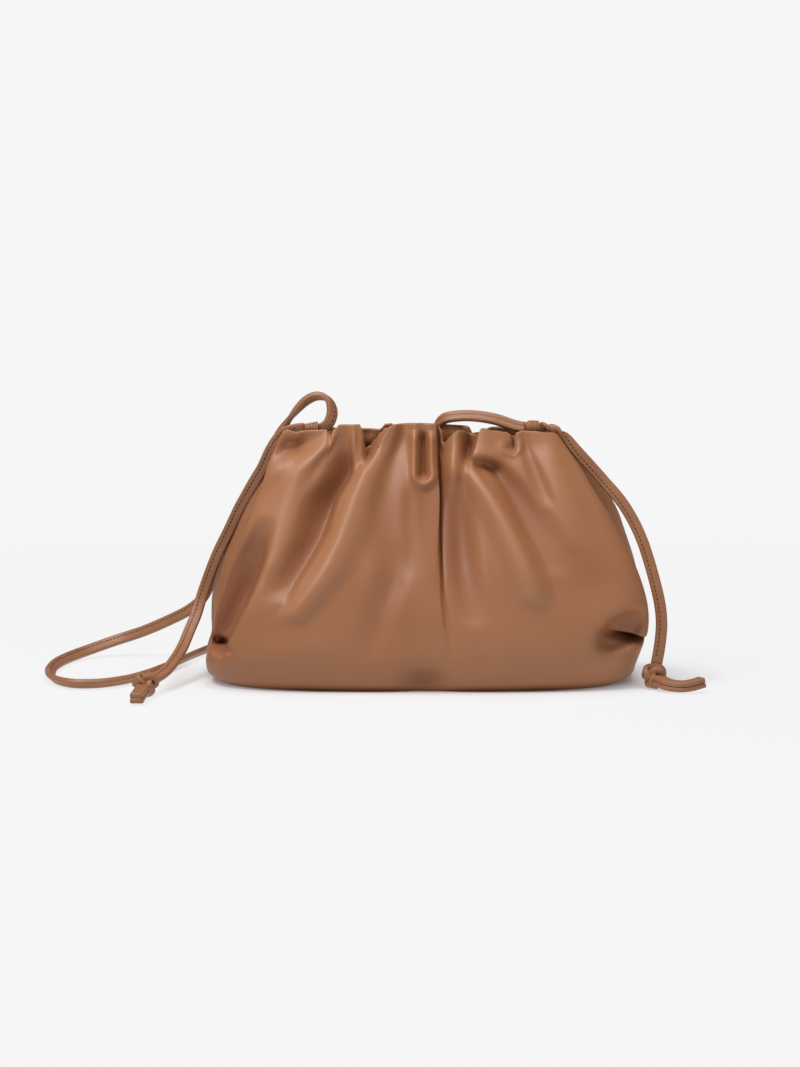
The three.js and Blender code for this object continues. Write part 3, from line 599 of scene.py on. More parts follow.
# %% Folds of the front
# height, place, rise, left flank, right flank, lean
FRONT_FOLDS = {
    "centre crease": ("cusp", [
        (1.000, 0.060, -0.100, 0.012, 0.050), (0.920, 0.062, -0.160, 0.011, 0.055),
        (0.830, 0.064, -0.180, 0.011, 0.065), (0.736, 0.066, -0.150, 0.011, 0.065),
        (0.620, 0.067, -0.120, 0.011, 0.062), (0.500, 0.070, -0.100, 0.011, 0.060),
        (0.400, 0.075, -0.060, 0.014, 0.070), (0.280, 0.090, -0.028, 0.018, 0.080),
        (0.120, 0.122, 0.000, 0.020, 0.080),
    ]),
    "centre left roll": ("soft", [
        (0.900, 0.044, 0.000, 0.030, 0.016, 0.000), (0.820, 0.048, 0.006, 0.040, 0.014, 0.020),
        (0.736, 0.046, 0.010, 0.050, 0.018, 0.040), (0.620, 0.040, 0.012, 0.070, 0.024, 0.040),
        (0.500, 0.030, 0.014, 0.100, 0.040, 0.030), (0.360, 0.020, 0.012, 0.130, 0.060, 0.010),
        (0.160, 0.040, 0.000, 0.130, 0.070, 0.000),
    ]),
    "centre left slope": ("soft", [
        (1.000, 0.054, -0.030, 0.150, 0.010), (0.800, 0.060, -0.060, 0.190, 0.010),
        (0.600, 0.063, -0.060, 0.190, 0.012), (0.450, 0.068, -0.040, 0.170, 0.016),
        (0.300, 0.080, 0.000, 0.120, 0.020),
    ]),
    "roll edge": ("soft", [
        (0.800, -0.080, 0.000, 0.030, 0.040), (0.740, -0.078, -0.018, 0.032, 0.048),
        (0.620, -0.074, -0.024, 0.038, 0.056), (0.500, -0.066, -0.018, 0.042, 0.060),
        (0.400, -0.056, 0.000, 0.040, 0.060),
    ]),
    "centre right roll": ("soft", [
        (1.000, 0.132, 0.070, 0.045, 0.050), (0.900, 0.128, 0.100, 0.052, 0.052),
        (0.820, 0.127, 0.080, 0.052, 0.056), (0.760, 0.129, 0.040, 0.052, 0.060),
        (0.690, 0.134, 0.000, 0.052, 0.060),
    ]),
    "centre right trough": ("soft", [
        (0.860, 0.132, 0.000, 0.070, 0.070), (0.790, 0.136, -0.060, 0.086, 0.085),
        (0.720, 0.140, -0.110, 0.100, 0.100), (0.620, 0.148, -0.150, 0.110, 0.110),
        (0.520, 0.156, -0.150, 0.112, 0.120), (0.440, 0.168, -0.120, 0.112, 0.120),
        (0.340, 0.190, -0.060, 0.100, 0.120), (0.230, 0.215, 0.000, 0.080, 0.110),
    ]),
    "centre left valley": ("soft", [
        (1.000, -0.090, -0.050, 0.040, 0.060), (0.920, -0.118, -0.060, 0.050, 0.080),
        (0.850, -0.150, -0.040, 0.060, 0.100), (0.740, -0.182, -0.030, 0.080, 0.110),
        (0.600, -0.168, -0.045, 0.105, 0.100), (0.500, -0.140, -0.070, 0.120, 0.100),
        (0.430, -0.148, -0.075, 0.120, 0.100), (0.340, -0.186, -0.060, 0.110, 0.100),
        (0.220, -0.226, -0.035, 0.100, 0.090), (0.100, -0.250, 0.000, 0.090, 0.080),
    ]),
    "long left ridge": ("soft", [
        (1.000, -0.160, 0.050, 0.016, 0.060, -0.010), (0.960, -0.184, 0.070, 0.024, 0.075, -0.020),
        (0.920, -0.206, 0.090, 0.036, 0.090, -0.030), (0.880, -0.232, 0.110, 0.052, 0.105, -0.030),
        (0.825, -0.264, 0.130, 0.070, 0.120, -0.020), (0.736, -0.310, 0.130, 0.088, 0.140, 0.000),
        (0.590, -0.372, 0.120, 0.094, 0.155, 0.000), (0.470, -0.442, 0.110, 0.096, 0.150, 0.000),
        (0.380, -0.512, 0.095, 0.096, 0.130, 0.000), (0.310, -0.572, 0.070, 0.090, 0.110, 0.000),
        (0.240, -0.628, 0.000, 0.080, 0.090, 0.000),
    ]),
    "left flap": ("soft", [
        (1.000, -0.325, 0.030, 0.110, 0.030), (0.950, -0.322, 0.045, 0.120, 0.030),
        (0.910, -0.322, 0.030, 0.120, 0.030), (0.850, -0.340, 0.000, 0.100, 0.040),
    ]),
    "left recess": ("soft", [
        (1.000, -0.240, -0.070, 0.036, 0.050), (0.950, -0.252, -0.060, 0.026, 0.036),
        (0.910, -0.268, -0.030, 0.018, 0.022), (0.870, -0.290, 0.000, 0.016, 0.018),
    ]),
    "long left valley": ("soft", [
        (1.000, -0.345, -0.020, 0.050, 0.040), (0.950, -0.352, -0.070, 0.070, 0.040),
        (0.900, -0.344, -0.120, 0.100, 0.032), (0.825, -0.342, -0.220, 0.146, 0.026),
        (0.736, -0.398, -0.262, 0.164, 0.024), (0.660, -0.431, -0.254, 0.168, 0.024),
        (0.590, -0.462, -0.228, 0.164, 0.026), (0.500, -0.520, -0.180, 0.156, 0.028),
        (0.410, -0.588, -0.100, 0.140, 0.030), (0.330, -0.642, 0.000, 0.110, 0.045),
    ]),
    "thin crease": ("cusp", [
        (0.800, -0.352, 0.000, 0.030, 0.016), (0.720, -0.372, -0.016, 0.030, 0.012),
        (0.620, -0.420, -0.020, 0.035, 0.012), (0.520, -0.465, 0.000, 0.035, 0.020),
    ]),
    "left hollow": ("soft", [
        (0.690, -0.700, 0.000, 0.050, 0.050), (0.620, -0.710, -0.090, 0.120, 0.050),
        (0.560, -0.719, -0.200, 0.190, 0.042), (0.500, -0.732, -0.310, 0.240, 0.034),
        (0.430, -0.756, -0.400, 0.260, 0.024), (0.360, -0.787, -0.450, 0.240, 0.018),
        (0.280, -0.831, -0.430, 0.210, 0.014), (0.200, -0.874, -0.370, 0.170, 0.014),
        (0.150, -0.896, -0.280, 0.150, 0.016), (0.125, -0.908, -0.090, 0.130, 0.022),
        (0.100, -0.918, 0.000, 0.100, 0.030),
    ]),
    "left shoulder ridge": ("soft", [
        (1.00, -0.410, 0.02, 0.050, 0.040), (0.95, -0.440, 0.06, 0.070, 0.045),
        (0.89, -0.500, 0.07, 0.080, 0.060), (0.82, -0.565, 0.06, 0.090, 0.080),
        (0.70, -0.620, 0.05, 0.100, 0.100), (0.56, -0.680, 0.04, 0.110, 0.120),
        (0.42, -0.720, 0.00, 0.100, 0.120),
    ]),
    "right pocket": ("soft", [
        (1.000, 0.207, -0.150, 0.050, 0.036), (0.950, 0.203, -0.180, 0.048, 0.026),
        (0.910, 0.196, -0.150, 0.042, 0.022), (0.870, 0.190, -0.070, 0.036, 0.020),
        (0.820, 0.192, 0.000, 0.030, 0.020),
    ]),
    "right lip": ("soft", [
        (1.000, 0.266, 0.040, 0.024, 0.130, -0.040), (0.950, 0.252, 0.080, 0.024, 0.150, -0.050),
        (0.915, 0.240, 0.100, 0.026, 0.160, -0.050), (0.880, 0.228, 0.080, 0.030, 0.150, -0.030),
        (0.840, 0.220, 0.000, 0.030, 0.130, 0.000),
    ]),
    "long right ridge": ("soft", [
        (0.920, 0.176, 0.000, 0.060, 0.030), (0.860, 0.202, 0.050, 0.070, 0.036),
        (0.810, 0.238, 0.090, 0.085, 0.050), (0.730, 0.300, 0.135, 0.108, 0.066),
        (0.620, 0.368, 0.160, 0.124, 0.086), (0.530, 0.416, 0.165, 0.130, 0.104),
        (0.450, 0.450, 0.150, 0.126, 0.116), (0.390, 0.472, 0.110, 0.116, 0.116),
        (0.300, 0.496, 0.000, 0.100, 0.100),
    ]),
    "long right valley": ("soft", [
        (0.920, 0.262, 0.000, 0.040, 0.080), (0.860, 0.296, -0.080, 0.050, 0.110),
        (0.790, 0.354, -0.120, 0.058, 0.130), (0.700, 0.418, -0.110, 0.066, 0.150),
        (0.610, 0.476, -0.085, 0.082, 0.170), (0.530, 0.528, -0.055, 0.096, 0.170),
        (0.420, 0.580, 0.000, 0.100, 0.160),
    ]),
    "right notch": ("cusp", [
        (1.000, 0.395, -0.060, 0.014, 0.012), (0.955, 0.398, -0.060, 0.012, 0.010),
        (0.915, 0.402, 0.000, 0.010, 0.008),
    ]),
    "right soft valley": ("soft", [
        (1.00, 0.445, -0.02, 0.030, 0.030), (0.92, 0.456, -0.04, 0.040, 0.040),
        (0.80, 0.500, -0.04, 0.050, 0.060), (0.68, 0.560, 0.00, 0.050, 0.060),
    ]),
    "right shoulder ridge": ("soft", [
        (1.00, 0.540, 0.02, 0.080, 0.060), (0.90, 0.560, 0.05, 0.080, 0.090),
        (0.78, 0.600, 0.06, 0.090, 0.120), (0.66, 0.640, 0.05, 0.100, 0.120),
        (0.50, 0.690, 0.00, 0.100, 0.120),
    ]),
    "low middle crease": ("cusp", [
        (0.42, 0.072, 0.00, 0.030, 0.030), (0.34, 0.082, -0.012, 0.030, 0.030),
        (0.20, 0.104, -0.014, 0.040, 0.040), (0.08, 0.128, 0.00, 0.040, 0.040),
    ]),
}
print(len(FRONT_FOLDS), "folds in front")

# %% [markdown]
# The photograph doesn't show the back, so its folds are a plain guess: seven soft ones and a crease,
# which start at the gathers of the rim and fade out at about half the height.

# %% Folds of the back
# height, place, rise, left flank, right flank
BACK_FOLDS = {
    "back centre crease": ("cusp", [
        (1.00, -0.060, -0.08, 0.020, 0.060), (0.80, -0.054, -0.12, 0.020, 0.070),
        (0.60, -0.048, -0.08, 0.030, 0.080), (0.42, -0.040, 0.00, 0.050, 0.080),
    ]),
    "back left ridge": ("soft", [
        (1.00, -0.240, 0.04, 0.070, 0.040), (0.68, -0.330, 0.09, 0.100, 0.060),
        (0.35, -0.420, 0.00, 0.100, 0.070),
    ]),
    "back left valley": ("soft", [
        (1.00, -0.380, -0.07, 0.060, 0.050), (0.72, -0.470, -0.09, 0.090, 0.070),
        (0.45, -0.560, 0.00, 0.080, 0.070),
    ]),
    "back far left ridge": ("soft", [
        (1.00, -0.500, 0.03, 0.060, 0.050), (0.75, -0.590, 0.05, 0.090, 0.080),
        (0.48, -0.680, 0.00, 0.080, 0.080),
    ]),
    "back middle ridge": ("soft", [
        (1.00, 0.060, 0.04, 0.060, 0.060), (0.75, 0.090, 0.06, 0.080, 0.080),
        (0.45, 0.120, 0.00, 0.080, 0.080),
    ]),
    "back right valley": ("soft", [
        (1.00, 0.200, -0.08, 0.040, 0.060), (0.72, 0.250, -0.08, 0.060, 0.080),
        (0.45, 0.300, 0.00, 0.080, 0.080),
    ]),
    "back right ridge": ("soft", [
        (1.00, 0.330, 0.04, 0.050, 0.070), (0.68, 0.440, 0.08, 0.070, 0.100),
        (0.35, 0.560, 0.00, 0.070, 0.100),
    ]),
    "back far right valley": ("soft", [
        (1.00, 0.470, -0.05, 0.040, 0.050), (0.75, 0.560, -0.05, 0.060, 0.080),
        (0.50, 0.650, 0.00, 0.070, 0.080),
    ]),
}
END_FADE = 0.07
print(len(BACK_FOLDS), "folds behind")

# %% [markdown]
# Tucks are short upright puckers in the rim, each a trough with a round lip about it. Dents are soft
# hollows, as a thumb would press them in, and one of less than nothing is a swelling. The rim itself
# rises and falls where the gathers push it up or pull it down.

# %% Tucks, dents and the line of the rim
# place, the height of its round end, radius, lip, lip width in radii, trough
TUCKS = [
    (-0.009, 0.826, 0.039, 0.066, 0.46, 0.095),
    (0.390, 0.944, 0.038, 0.022, 0.42, 0.034),
]
TUCK_FADE = 0.85
TUCK_FADE_HEIGHTS = (0.945, 0.985)
TROUGH_WIDTH = 0.42
# place, height, turn in degrees, long, wide above, wide below, depth, crispness of the edge
DENTS = [
    (-0.590, 0.930, 32, 0.085, 0.040, 0.036, 0.130, 1.0),
    (-0.640, 0.862, 32, 0.120, 0.050, 0.060, -0.045, 1.0),
    (-0.930, 0.166, -12, 0.052, 0.020, 0.010, 0.230, 1.0),
    (0.915, 0.206, -14, 0.080, 0.007, 0.018, 0.400, 1.0),
    (0.864, 0.232, 35, 0.122, 0.072, 0.078, 0.165, 2.5),
    (0.270, 0.862, -24, 0.070, 0.022, 0.040, 0.070, 1.0),
    (-0.010, 0.055, 0, 0.100, 0.055, 0.050, 0.120, 1.0),
    (-0.560, 0.190, 10, 0.240, 0.080, 0.080, -0.040, 1.0),
    (0.300, 0.220, 0, 0.260, 0.080, 0.080, -0.030, 1.0),
    (0.720, 0.420, 0, 0.170, 0.120, 0.110, 0.060, 1.0),
]
# place, lift in millimetres
FRONT_RIM = [
    (-0.66, 3.6), (-0.63, 2.8), (-0.575, -0.6), (-0.47, -1.2), (-0.440, -1.4), (-0.427, -4.6),
    (-0.412, -1.2), (-0.38, 1.2), (-0.288, 1.2), (-0.276, -3.0), (-0.264, -12.0), (-0.250, -10.6),
    (-0.226, -6.6), (-0.202, -3.0), (-0.180, -0.6), (-0.120, 1.4), (-0.045, 1.9), (0.020, 1.6),
    (0.056, 1.6), (0.066, -2.0), (0.077, -8.6), (0.089, -8.2), (0.104, -5.6), (0.127, -3.3),
    (0.152, -2.0), (0.177, -2.1), (0.200, -3.8), (0.222, -4.6), (0.242, -2.6), (0.260, -1.0),
    (0.280, -0.6), (0.320, -2.0), (0.370, -2.8), (0.386, -3.8), (0.397, -5.0), (0.410, -2.8),
    (0.440, -1.8), (0.520, -1.2), (0.600, 1.0),
]
BACK_RIM = [
    (-0.66, 0.5), (-0.50, 0.0), (-0.30, -0.6), (-0.200, -0.8), (-0.180, 2.0), (-0.150, 2.4), (-0.130, 0.2),
    (-0.09, 1.6), (0.06, 1.9), (0.20, 1.2), (0.215, -2.6), (0.250, -2.4), (0.30, 0.0), (0.60, 0.0),
]
print(len(TUCKS), "tucks,", len(DENTS), "dents and", len(FRONT_RIM) + len(BACK_RIM), "stops in the rim")

# %% [markdown]
# Seen from above each section is a superellipse, a rounded box whose squareness is chosen for each
# height. At its two ends the skin is tucked in between front and back, which makes the side gussets.

# %% Plan of each section
GUSSET_SPAN = 0.7
SIDE_BLEND = 0.5


def superellipse(angle, squareness):
    c, s = np.cos(angle), np.sin(angle)
    reach = (np.abs(c) ** squareness + np.abs(s) ** squareness) ** (-1 / squareness)
    return c * reach, s * reach


def plan(angle, rows):
    """Places along and across the plan of each row, before the folds."""
    square = np.where(np.cos(angle) < 0, rows["square_left"], rows["square_right"])
    along, across = superellipse(angle, square)
    to_back = smoothstep(across, -SIDE_BLEND, SIDE_BLEND)
    left = rows["front_left"] + (rows["back_left"] - rows["front_left"]) * to_back
    right = rows["front_right"] + (rows["back_right"] - rows["front_right"]) * to_back
    tuck = np.clip(1 - np.abs(across) / GUSSET_SPAN, 0, None) ** 2
    left_share = left * along + rows["gusset_left"] * tuck
    right_share = right * along - rows["gusset_right"] * tuck
    return along, across, np.where(along < 0, left_share, right_share)


print("a section of squareness 4 reaches", superellipse(math.pi / 4, 4)[0].round(3), "at its corner")

# %% [markdown]
# A fine form needs narrow faces where it bends and only wide ones where it is plain. The rows of the
# grid crowd together at the rim, the low pinches and the base. The columns crowd together along the
# sharp folds and the tucks, and spread out again lower down.

# %% Grid of the skin
COLUMNS = 456
ROWS = 142
FINE_ROWS = 2000
FINE_COLUMNS = 2400
# height, how many times closer the rows stand, over what share of the height
ROW_CROWDS = [(1.0, 5.0, 0.022), (0.92, 0.8, 0.10), (0.0, 1.6, 0.03), (0.18, 0.8, 0.06)]
FRONT_WEIGHT = 1.55
FRONT_FROM = 0.4
# fold, how many times closer the columns stand, over what share of half the width, and the heights
# between which the crowding grows from nothing to its whole
CROWDS = [
    ("centre crease", 5.0, 0.022, 0.20, 0.50), ("long left ridge", 2.6, 0.034, 0.20, 0.50),
    ("right pocket", 2.0, 0.040, 0.50, 0.90), ("right lip", 1.6, 0.030, 0.50, 0.90),
    ("left hollow", 2.0, 0.036, 0.02, 0.14), ("long left valley", 2.4, 0.030, 0.24, 0.44),
]
TUCK_CROWD = 2.2
TUCK_CROWD_REACH = 1.3
TUCK_CROWD_HEIGHTS = (0.50, 0.80)


def row_heights():
    """Row heights, closer at the rim, the low pinches and the base."""
    fine = np.linspace(0, 1, FINE_ROWS)
    weight = 1 + sum(times * np.exp(-(((fine - at) / spread) ** 2)) for at, times, spread in ROW_CROWDS)
    run = np.concatenate([[0], np.cumsum((weight[1:] + weight[:-1]) / 2)])
    return np.interp(np.linspace(0, run[-1], ROWS), run, fine)


def crowded_angles(heights, rows):
    """The angle of each column, row by row."""
    angle = np.linspace(0, 2 * math.pi, FINE_COLUMNS)[None, :].repeat(len(heights), axis=0)
    _, across, share = plan(angle, rows)
    depth = np.where(across < 0, rows["front"], rows["back"]) * across * HALF_DEPTH / HALF_WIDTH
    step = np.hypot(np.diff(share, axis=1), np.diff(depth, axis=1))
    front = smoothstep(-(across[:, 1:] + across[:, :-1]) / 2, 0.0, FRONT_FROM)
    weight = 1 + (FRONT_WEIGHT - 1) * front
    middle = (share[:, 1:] + share[:, :-1]) / 2
    for name, times, spread, low, high in CROWDS:
        _, stops = FRONT_FOLDS[name]
        centre = smooth_table(stops, heights)[0]
        near = np.exp(-(((middle - centre[:, None]) / spread) ** 2))
        weight = weight + times * smoothstep(heights, low, high)[:, None] * near * front
    for place, _, radius, *_ in TUCKS:
        near = np.exp(-(((middle - place) / (radius * TUCK_CROWD_REACH)) ** 4))
        weight = weight + TUCK_CROWD * near * front * smoothstep(heights, *TUCK_CROWD_HEIGHTS)[:, None]
    run = np.concatenate([np.zeros((len(heights), 1)), np.cumsum(step * weight, axis=1)], axis=1)
    at = np.arange(COLUMNS) / COLUMNS
    return np.stack([np.interp(at * r[-1], r, a) for r, a in zip(run, angle)])


heights = row_heights()
rows = dict(zip(SECTION_NAMES, (v[:, None] for v in smooth_table(SECTIONS, heights))))
angle = crowded_angles(heights, rows)
print("the lowest rows stand", ((heights[1] - heights[0]) * HEIGHT / MM).round(2), "mm apart")

# %% [markdown]
# Every fold, tuck and dent moves the skin by a smooth bump or hollow of its own, and the moves are
# added up. So each can be changed without the others, as a potter presses a wall in and out.

# %% Moves of the folds, tucks and dents
def fold_moves(folds, share, heights):
    """How far the folds move the skin out and sideways, in shares of half the depth."""
    out, side = np.zeros_like(share), np.zeros_like(share)
    for kind, stops in folds.values():
        lowest, highest = min(stop[0] for stop in stops), max(stop[0] for stop in stops)
        centre, rise, left, right, *lean = (v[:, None] for v in smooth_table(stops, heights))
        away = share - centre
        flank = np.clip(np.abs(away) / np.where(away < 0, left, right), 0, 1)
        profile = (1 - flank) ** 2 if kind == "cusp" else 0.5 + 0.5 * np.cos(math.pi * flank)
        shown = smoothstep(heights, lowest, lowest + END_FADE)[:, None]
        if highest < 1:
            shown = shown * smoothstep(-heights, -highest, -highest + END_FADE)[:, None]
        out += shown * rise * profile
        if lean:
            side += shown * lean[0] * profile
    return out, side


def tuck_moves(share, heights):
    moved = np.zeros_like(share)
    shown = 1 - TUCK_FADE * smoothstep(heights, *TUCK_FADE_HEIGHTS)[:, None]
    for place, lowest, radius, lip, lip_width, trough in TUCKS:
        below = np.clip(lowest - heights, 0, None)[:, None] * HEIGHT
        beside = (share - place) * HALF_WIDTH
        distance = np.hypot(below, beside) / (radius * HALF_WIDTH)
        moved += lip * np.exp(-(((distance - 1) / lip_width) ** 2))
        moved -= trough * np.exp(-((distance / TROUGH_WIDTH) ** 2))
    return moved * shown


def dent_moves(share, heights):
    moved = np.zeros_like(share)
    for place, height, turn, long, above, below, depth, crisp in DENTS:
        across = (share - place) * HALF_WIDTH
        up = (heights[:, None] - height) * HEIGHT
        c, s = math.cos(math.radians(turn)), math.sin(math.radians(turn))
        one = (across * c + up * s) / (long * HALF_WIDTH)
        two = up * c - across * s
        two = two / (np.where(two > 0, above, below) * HALF_WIDTH)
        moved -= depth * np.exp(-((one**2 + two**2) ** crisp))
    return moved


def all_moves(angle, rows, heights):
    """How far every fold, tuck and dent together moves the skin, out and sideways."""
    _, across, share = plan(angle, rows)
    front_out, front_side = fold_moves(FRONT_FOLDS, share, heights)
    back_out, back_side = fold_moves(BACK_FOLDS, share, heights)
    front_out = front_out + tuck_moves(share, heights) + dent_moves(share, heights)
    front = across < 0
    return np.where(front, front_out, back_out), np.where(front, front_side, back_side)


rise, side = all_moves(angle, rows, heights)
print("the skin is moved out by", (rise.min() * HALF_DEPTH / MM).round(1), "to",
      (rise.max() * HALF_DEPTH / MM).round(1), "mm")

# %% [markdown]
# The plan, the height of each row and the moves together give every point of the skin. The rim drops
# at the two corners, where the strap pulls, and a little at the back.

# %% Points of the skin
RIM_DROP_AT_CORNERS = 0.045
RIM_DROP_AT_BACK = 0.014
FACE_SHARE = (0.25, 0.75)
LIFT_HEIGHTS = (0.84, 1.0)


def skin_points(angle, rows, heights, rise, side):
    """The skin moved out by the rise and sideways by the side, in shares of half the depth."""
    along, across, share = plan(angle, rows)
    face = smoothstep(np.abs(across), *FACE_SHARE)
    front = across < 0
    depth = np.where(front, rows["front"], rows["back"]) * across + np.sign(across) * face * rise
    level = heights[:, None]
    drop = RIM_DROP_AT_CORNERS * np.abs(along) ** 8 + np.where(front, 0, RIM_DROP_AT_BACK * (1 - along**2))
    lift = np.where(front, ease_table(FRONT_RIM, share), ease_table(BACK_RIM, share)) * MM
    z = level * HEIGHT * (1 - drop * level**4) + lift * face * smoothstep(level, *LIFT_HEIGHTS)
    x = share * HALF_WIDTH + side * face * HALF_DEPTH
    return np.stack([x, depth * HALF_DEPTH, z], axis=2)


skin = skin_points(angle, rows, heights, rise, side)
print("the skin has", skin.shape[0], "rows of", skin.shape[1], "points")

# %% [markdown]
# The leather has a thickness. The skin is turned over the rim in a small half round, goes down the
# inside about one wall away, and is closed by a flat base inside and out. The inside follows the
# deepest of the creases near it, so that the two faces never meet. A fine line below the rim marks
# the hem, where the edge is folded in and glued down.

# %% Two faces of the leather
WALL = 1.8 * MM
HEM = 2.4 * MM
HEM_GROOVE = 0.08 * MM
HEM_GROOVE_WIDTH = 0.3 * MM
RIM_STEPS = 5
RIM_BLEND_HEIGHTS = (0.955, 1.0)
INSIDE_REACH = 5


def grid_normals(points):
    round_it = np.roll(points, -1, axis=1) - np.roll(points, 1, axis=1)
    up = np.gradient(points, axis=0)
    normals = np.cross(round_it, up)
    return normals / np.linalg.norm(normals, axis=2)[:, :, None]


def soften(values, passes):
    for _ in range(passes):
        values = (np.roll(values, 1, axis=1) + 2 * values + np.roll(values, -1, axis=1)) / 4
    return values


def deepest_nearby(values, reach):
    """At each point the lowest value of its neighbours, so that the inside clears every crease."""
    lowest = values
    for shift in range(-reach, reach + 1):
        lowest = np.minimum(lowest, np.roll(values, shift, axis=1))
    for shift in (1, 2):
        lowest[shift:] = np.minimum(lowest[shift:], values[:-shift])
        lowest[:-shift] = np.minimum(lowest[:-shift], values[shift:])
    return lowest


def outer_face():
    """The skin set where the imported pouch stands, with the line of the hem pressed in, and its move."""
    middle = (skin.max(axis=(0, 1)) + skin.min(axis=(0, 1))) / 2
    place = (pouch_low + pouch_high) / 2 - middle
    place[2] = 0
    outer = skin + place
    normals = grid_normals(outer)
    below_rim = outer[-1, :, 2][None, :] - outer[:, :, 2]
    groove = HEM_GROOVE * np.exp(-(((below_rim - HEM) / HEM_GROOVE_WIDTH) ** 2))
    return outer - normals * groove[:, :, None], normals, place


def rim_rings(edge, level):
    """The half round over the rim, from the outer edge to the inner one."""
    turns = [math.pi * step / RIM_STEPS for step in range(1, RIM_STEPS)]
    over = [level * math.cos(turn) + np.array([0, 0, math.sin(turn)]) for turn in turns]
    return [edge + (turned - level) * WALL / 2 for turned in over]


def inner_face(outer, level, place):
    """The inside of the skin, a wall away from the plain body and clear of every crease."""
    plain = skin_points(angle, rows, heights, 0 * rise, 0 * side)
    lowest = soften(deepest_nearby(rise, INSIDE_REACH), passes=4)
    inner = skin_points(angle, rows, heights, lowest, 0 * side) + place - grid_normals(plain) * WALL
    rim_share = smoothstep(heights, *RIM_BLEND_HEIGHTS)[:, None, None]
    inner = inner * (1 - rim_share) + (outer - level * WALL) * rim_share
    inner[:, :, 2] = np.maximum(inner[:, :, 2], WALL)
    return inner


print("the leather is", round(WALL / MM, 1), "mm thick and its hem", round(HEM / MM, 1), "mm deep")

# %% [markdown]
# The two faces and the half round between them are one long stack of rings, so one mesh holds them
# all. The inside is out of sight and takes fewer rows. A mask on the points says where the skin lies
# in a hollow or on a ridge, and the leather's colour follows it, with painted shade in the hollows and
# a painted highlight on the ridges.

# %% The pouch
INSIDE_ROWS = 54
# rise at which a hollow takes its whole painted shade
HOLLOW_DEPTH = 0.15


def pouch_mesh():
    """Both faces of the skin as one mesh, with a painted-shade mask on it that is 1 in hollows and -1 on
    ridges.
    """
    outer, normals, place = outer_face()
    level = soften(normals[-2:-1], passes=6)[0]
    level[:, 2] = 0
    level /= np.linalg.norm(level, axis=1)[:, None]
    inner = inner_face(outer, level, place)
    picked = np.unique(np.round(np.linspace(0, ROWS - 1, INSIDE_ROWS)).astype(int))
    points = np.array([*outer, *rim_rings(outer[-1], level), *inner[picked[::-1]]])
    faces = ring_faces(len(points), COLUMNS)
    made = mesh_object("pouch", points.reshape(-1, 3), faces)
    for cap in (-2, -1):
        made.data.polygons[len(faces) + cap].use_smooth = False
    # the mask for painted shade in the hollows and a painted highlight on the ridges
    hollow = made.data.attributes.new("hollow", "FLOAT", "POINT")
    values = np.zeros(len(points) * COLUMNS)
    values[: ROWS * COLUMNS] = np.clip(-soften(rise, passes=2) / HOLLOW_DEPTH, -1, 1).reshape(-1)
    hollow.data.foreach_set("value", values.astype(np.float32))
    return made


pouch = pouch_mesh()
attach(pouch, "root")
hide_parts("pouch_body")
print("pouch has", len(pouch.data.polygons), "faces")

# %% [markdown]
# Each finish is a small tree of nodes: a pattern drives a ramp of colours, and the same or another
# pattern drives a bump. Four helpers make the nodes that every finish needs, so that each finish
# below says only what is its own.

# %% Helpers: nodes of a finish
def new_material(name):
    """A material with its tree of nodes and its Principled shader."""
    material = bpy.data.materials.new(name)
    material.use_nodes = True
    tree = material.node_tree
    return material, tree, tree.nodes["Principled BSDF"]


def math_node(tree, operation, one, two):
    node = tree.nodes.new("ShaderNodeMath")
    node.operation = operation
    for socket, value in zip(node.inputs, (one, two)):
        if isinstance(value, (int, float)):
            socket.default_value = value
        else:
            tree.links.new(value, socket)
    return node.outputs["Value"]


def colour_ramp(tree, mask, stops):
    """A ramp node that turns the mask into colours: each stop is a place and a colour."""
    ramp = tree.nodes.new("ShaderNodeValToRGB")
    elements = ramp.color_ramp.elements
    for i, (place, colour) in enumerate(stops):
        element = elements[i] if i < 2 else elements.new(place)
        element.position = place
        element.color = (*colour, 1)
    tree.links.new(mask, ramp.inputs["Fac"])
    return ramp


def bump(tree, height, strength, distance):
    node = tree.nodes.new("ShaderNodeBump")
    node.inputs["Strength"].default_value = strength
    node.inputs["Distance"].default_value = distance
    tree.links.new(height, node.inputs["Height"])
    return node.outputs["Normal"]


print("Blender has", len(bpy.data.materials), "materials from the packed model")

# %% [markdown]
# Smooth calf leather has fine pores, soft creases between them and a colour that drifts a little from
# place to place. More than one material here uses them, so they are one node group. It gives a
# height for the bump and a tone for the colour.

# %% Finish: the grain of the leather as a node group
GRAIN_INPUTS = [
    ("Pores per metre", 1500.0),
    ("Wrinkles per metre", 260.0),
    ("Wrinkle share", 0.35),
    ("Tone per metre", 16.0),
]


def new_group(name, inputs, outputs):
    group = bpy.data.node_groups.new(name, "ShaderNodeTree")
    for label, value in inputs:
        socket = group.interface.new_socket(label, in_out="INPUT", socket_type="NodeSocketFloat")
        socket.default_value = value
    for label in outputs:
        group.interface.new_socket(label, in_out="OUTPUT", socket_type="NodeSocketFloat")
    return group, group.nodes.new("NodeGroupInput"), group.nodes.new("NodeGroupOutput")


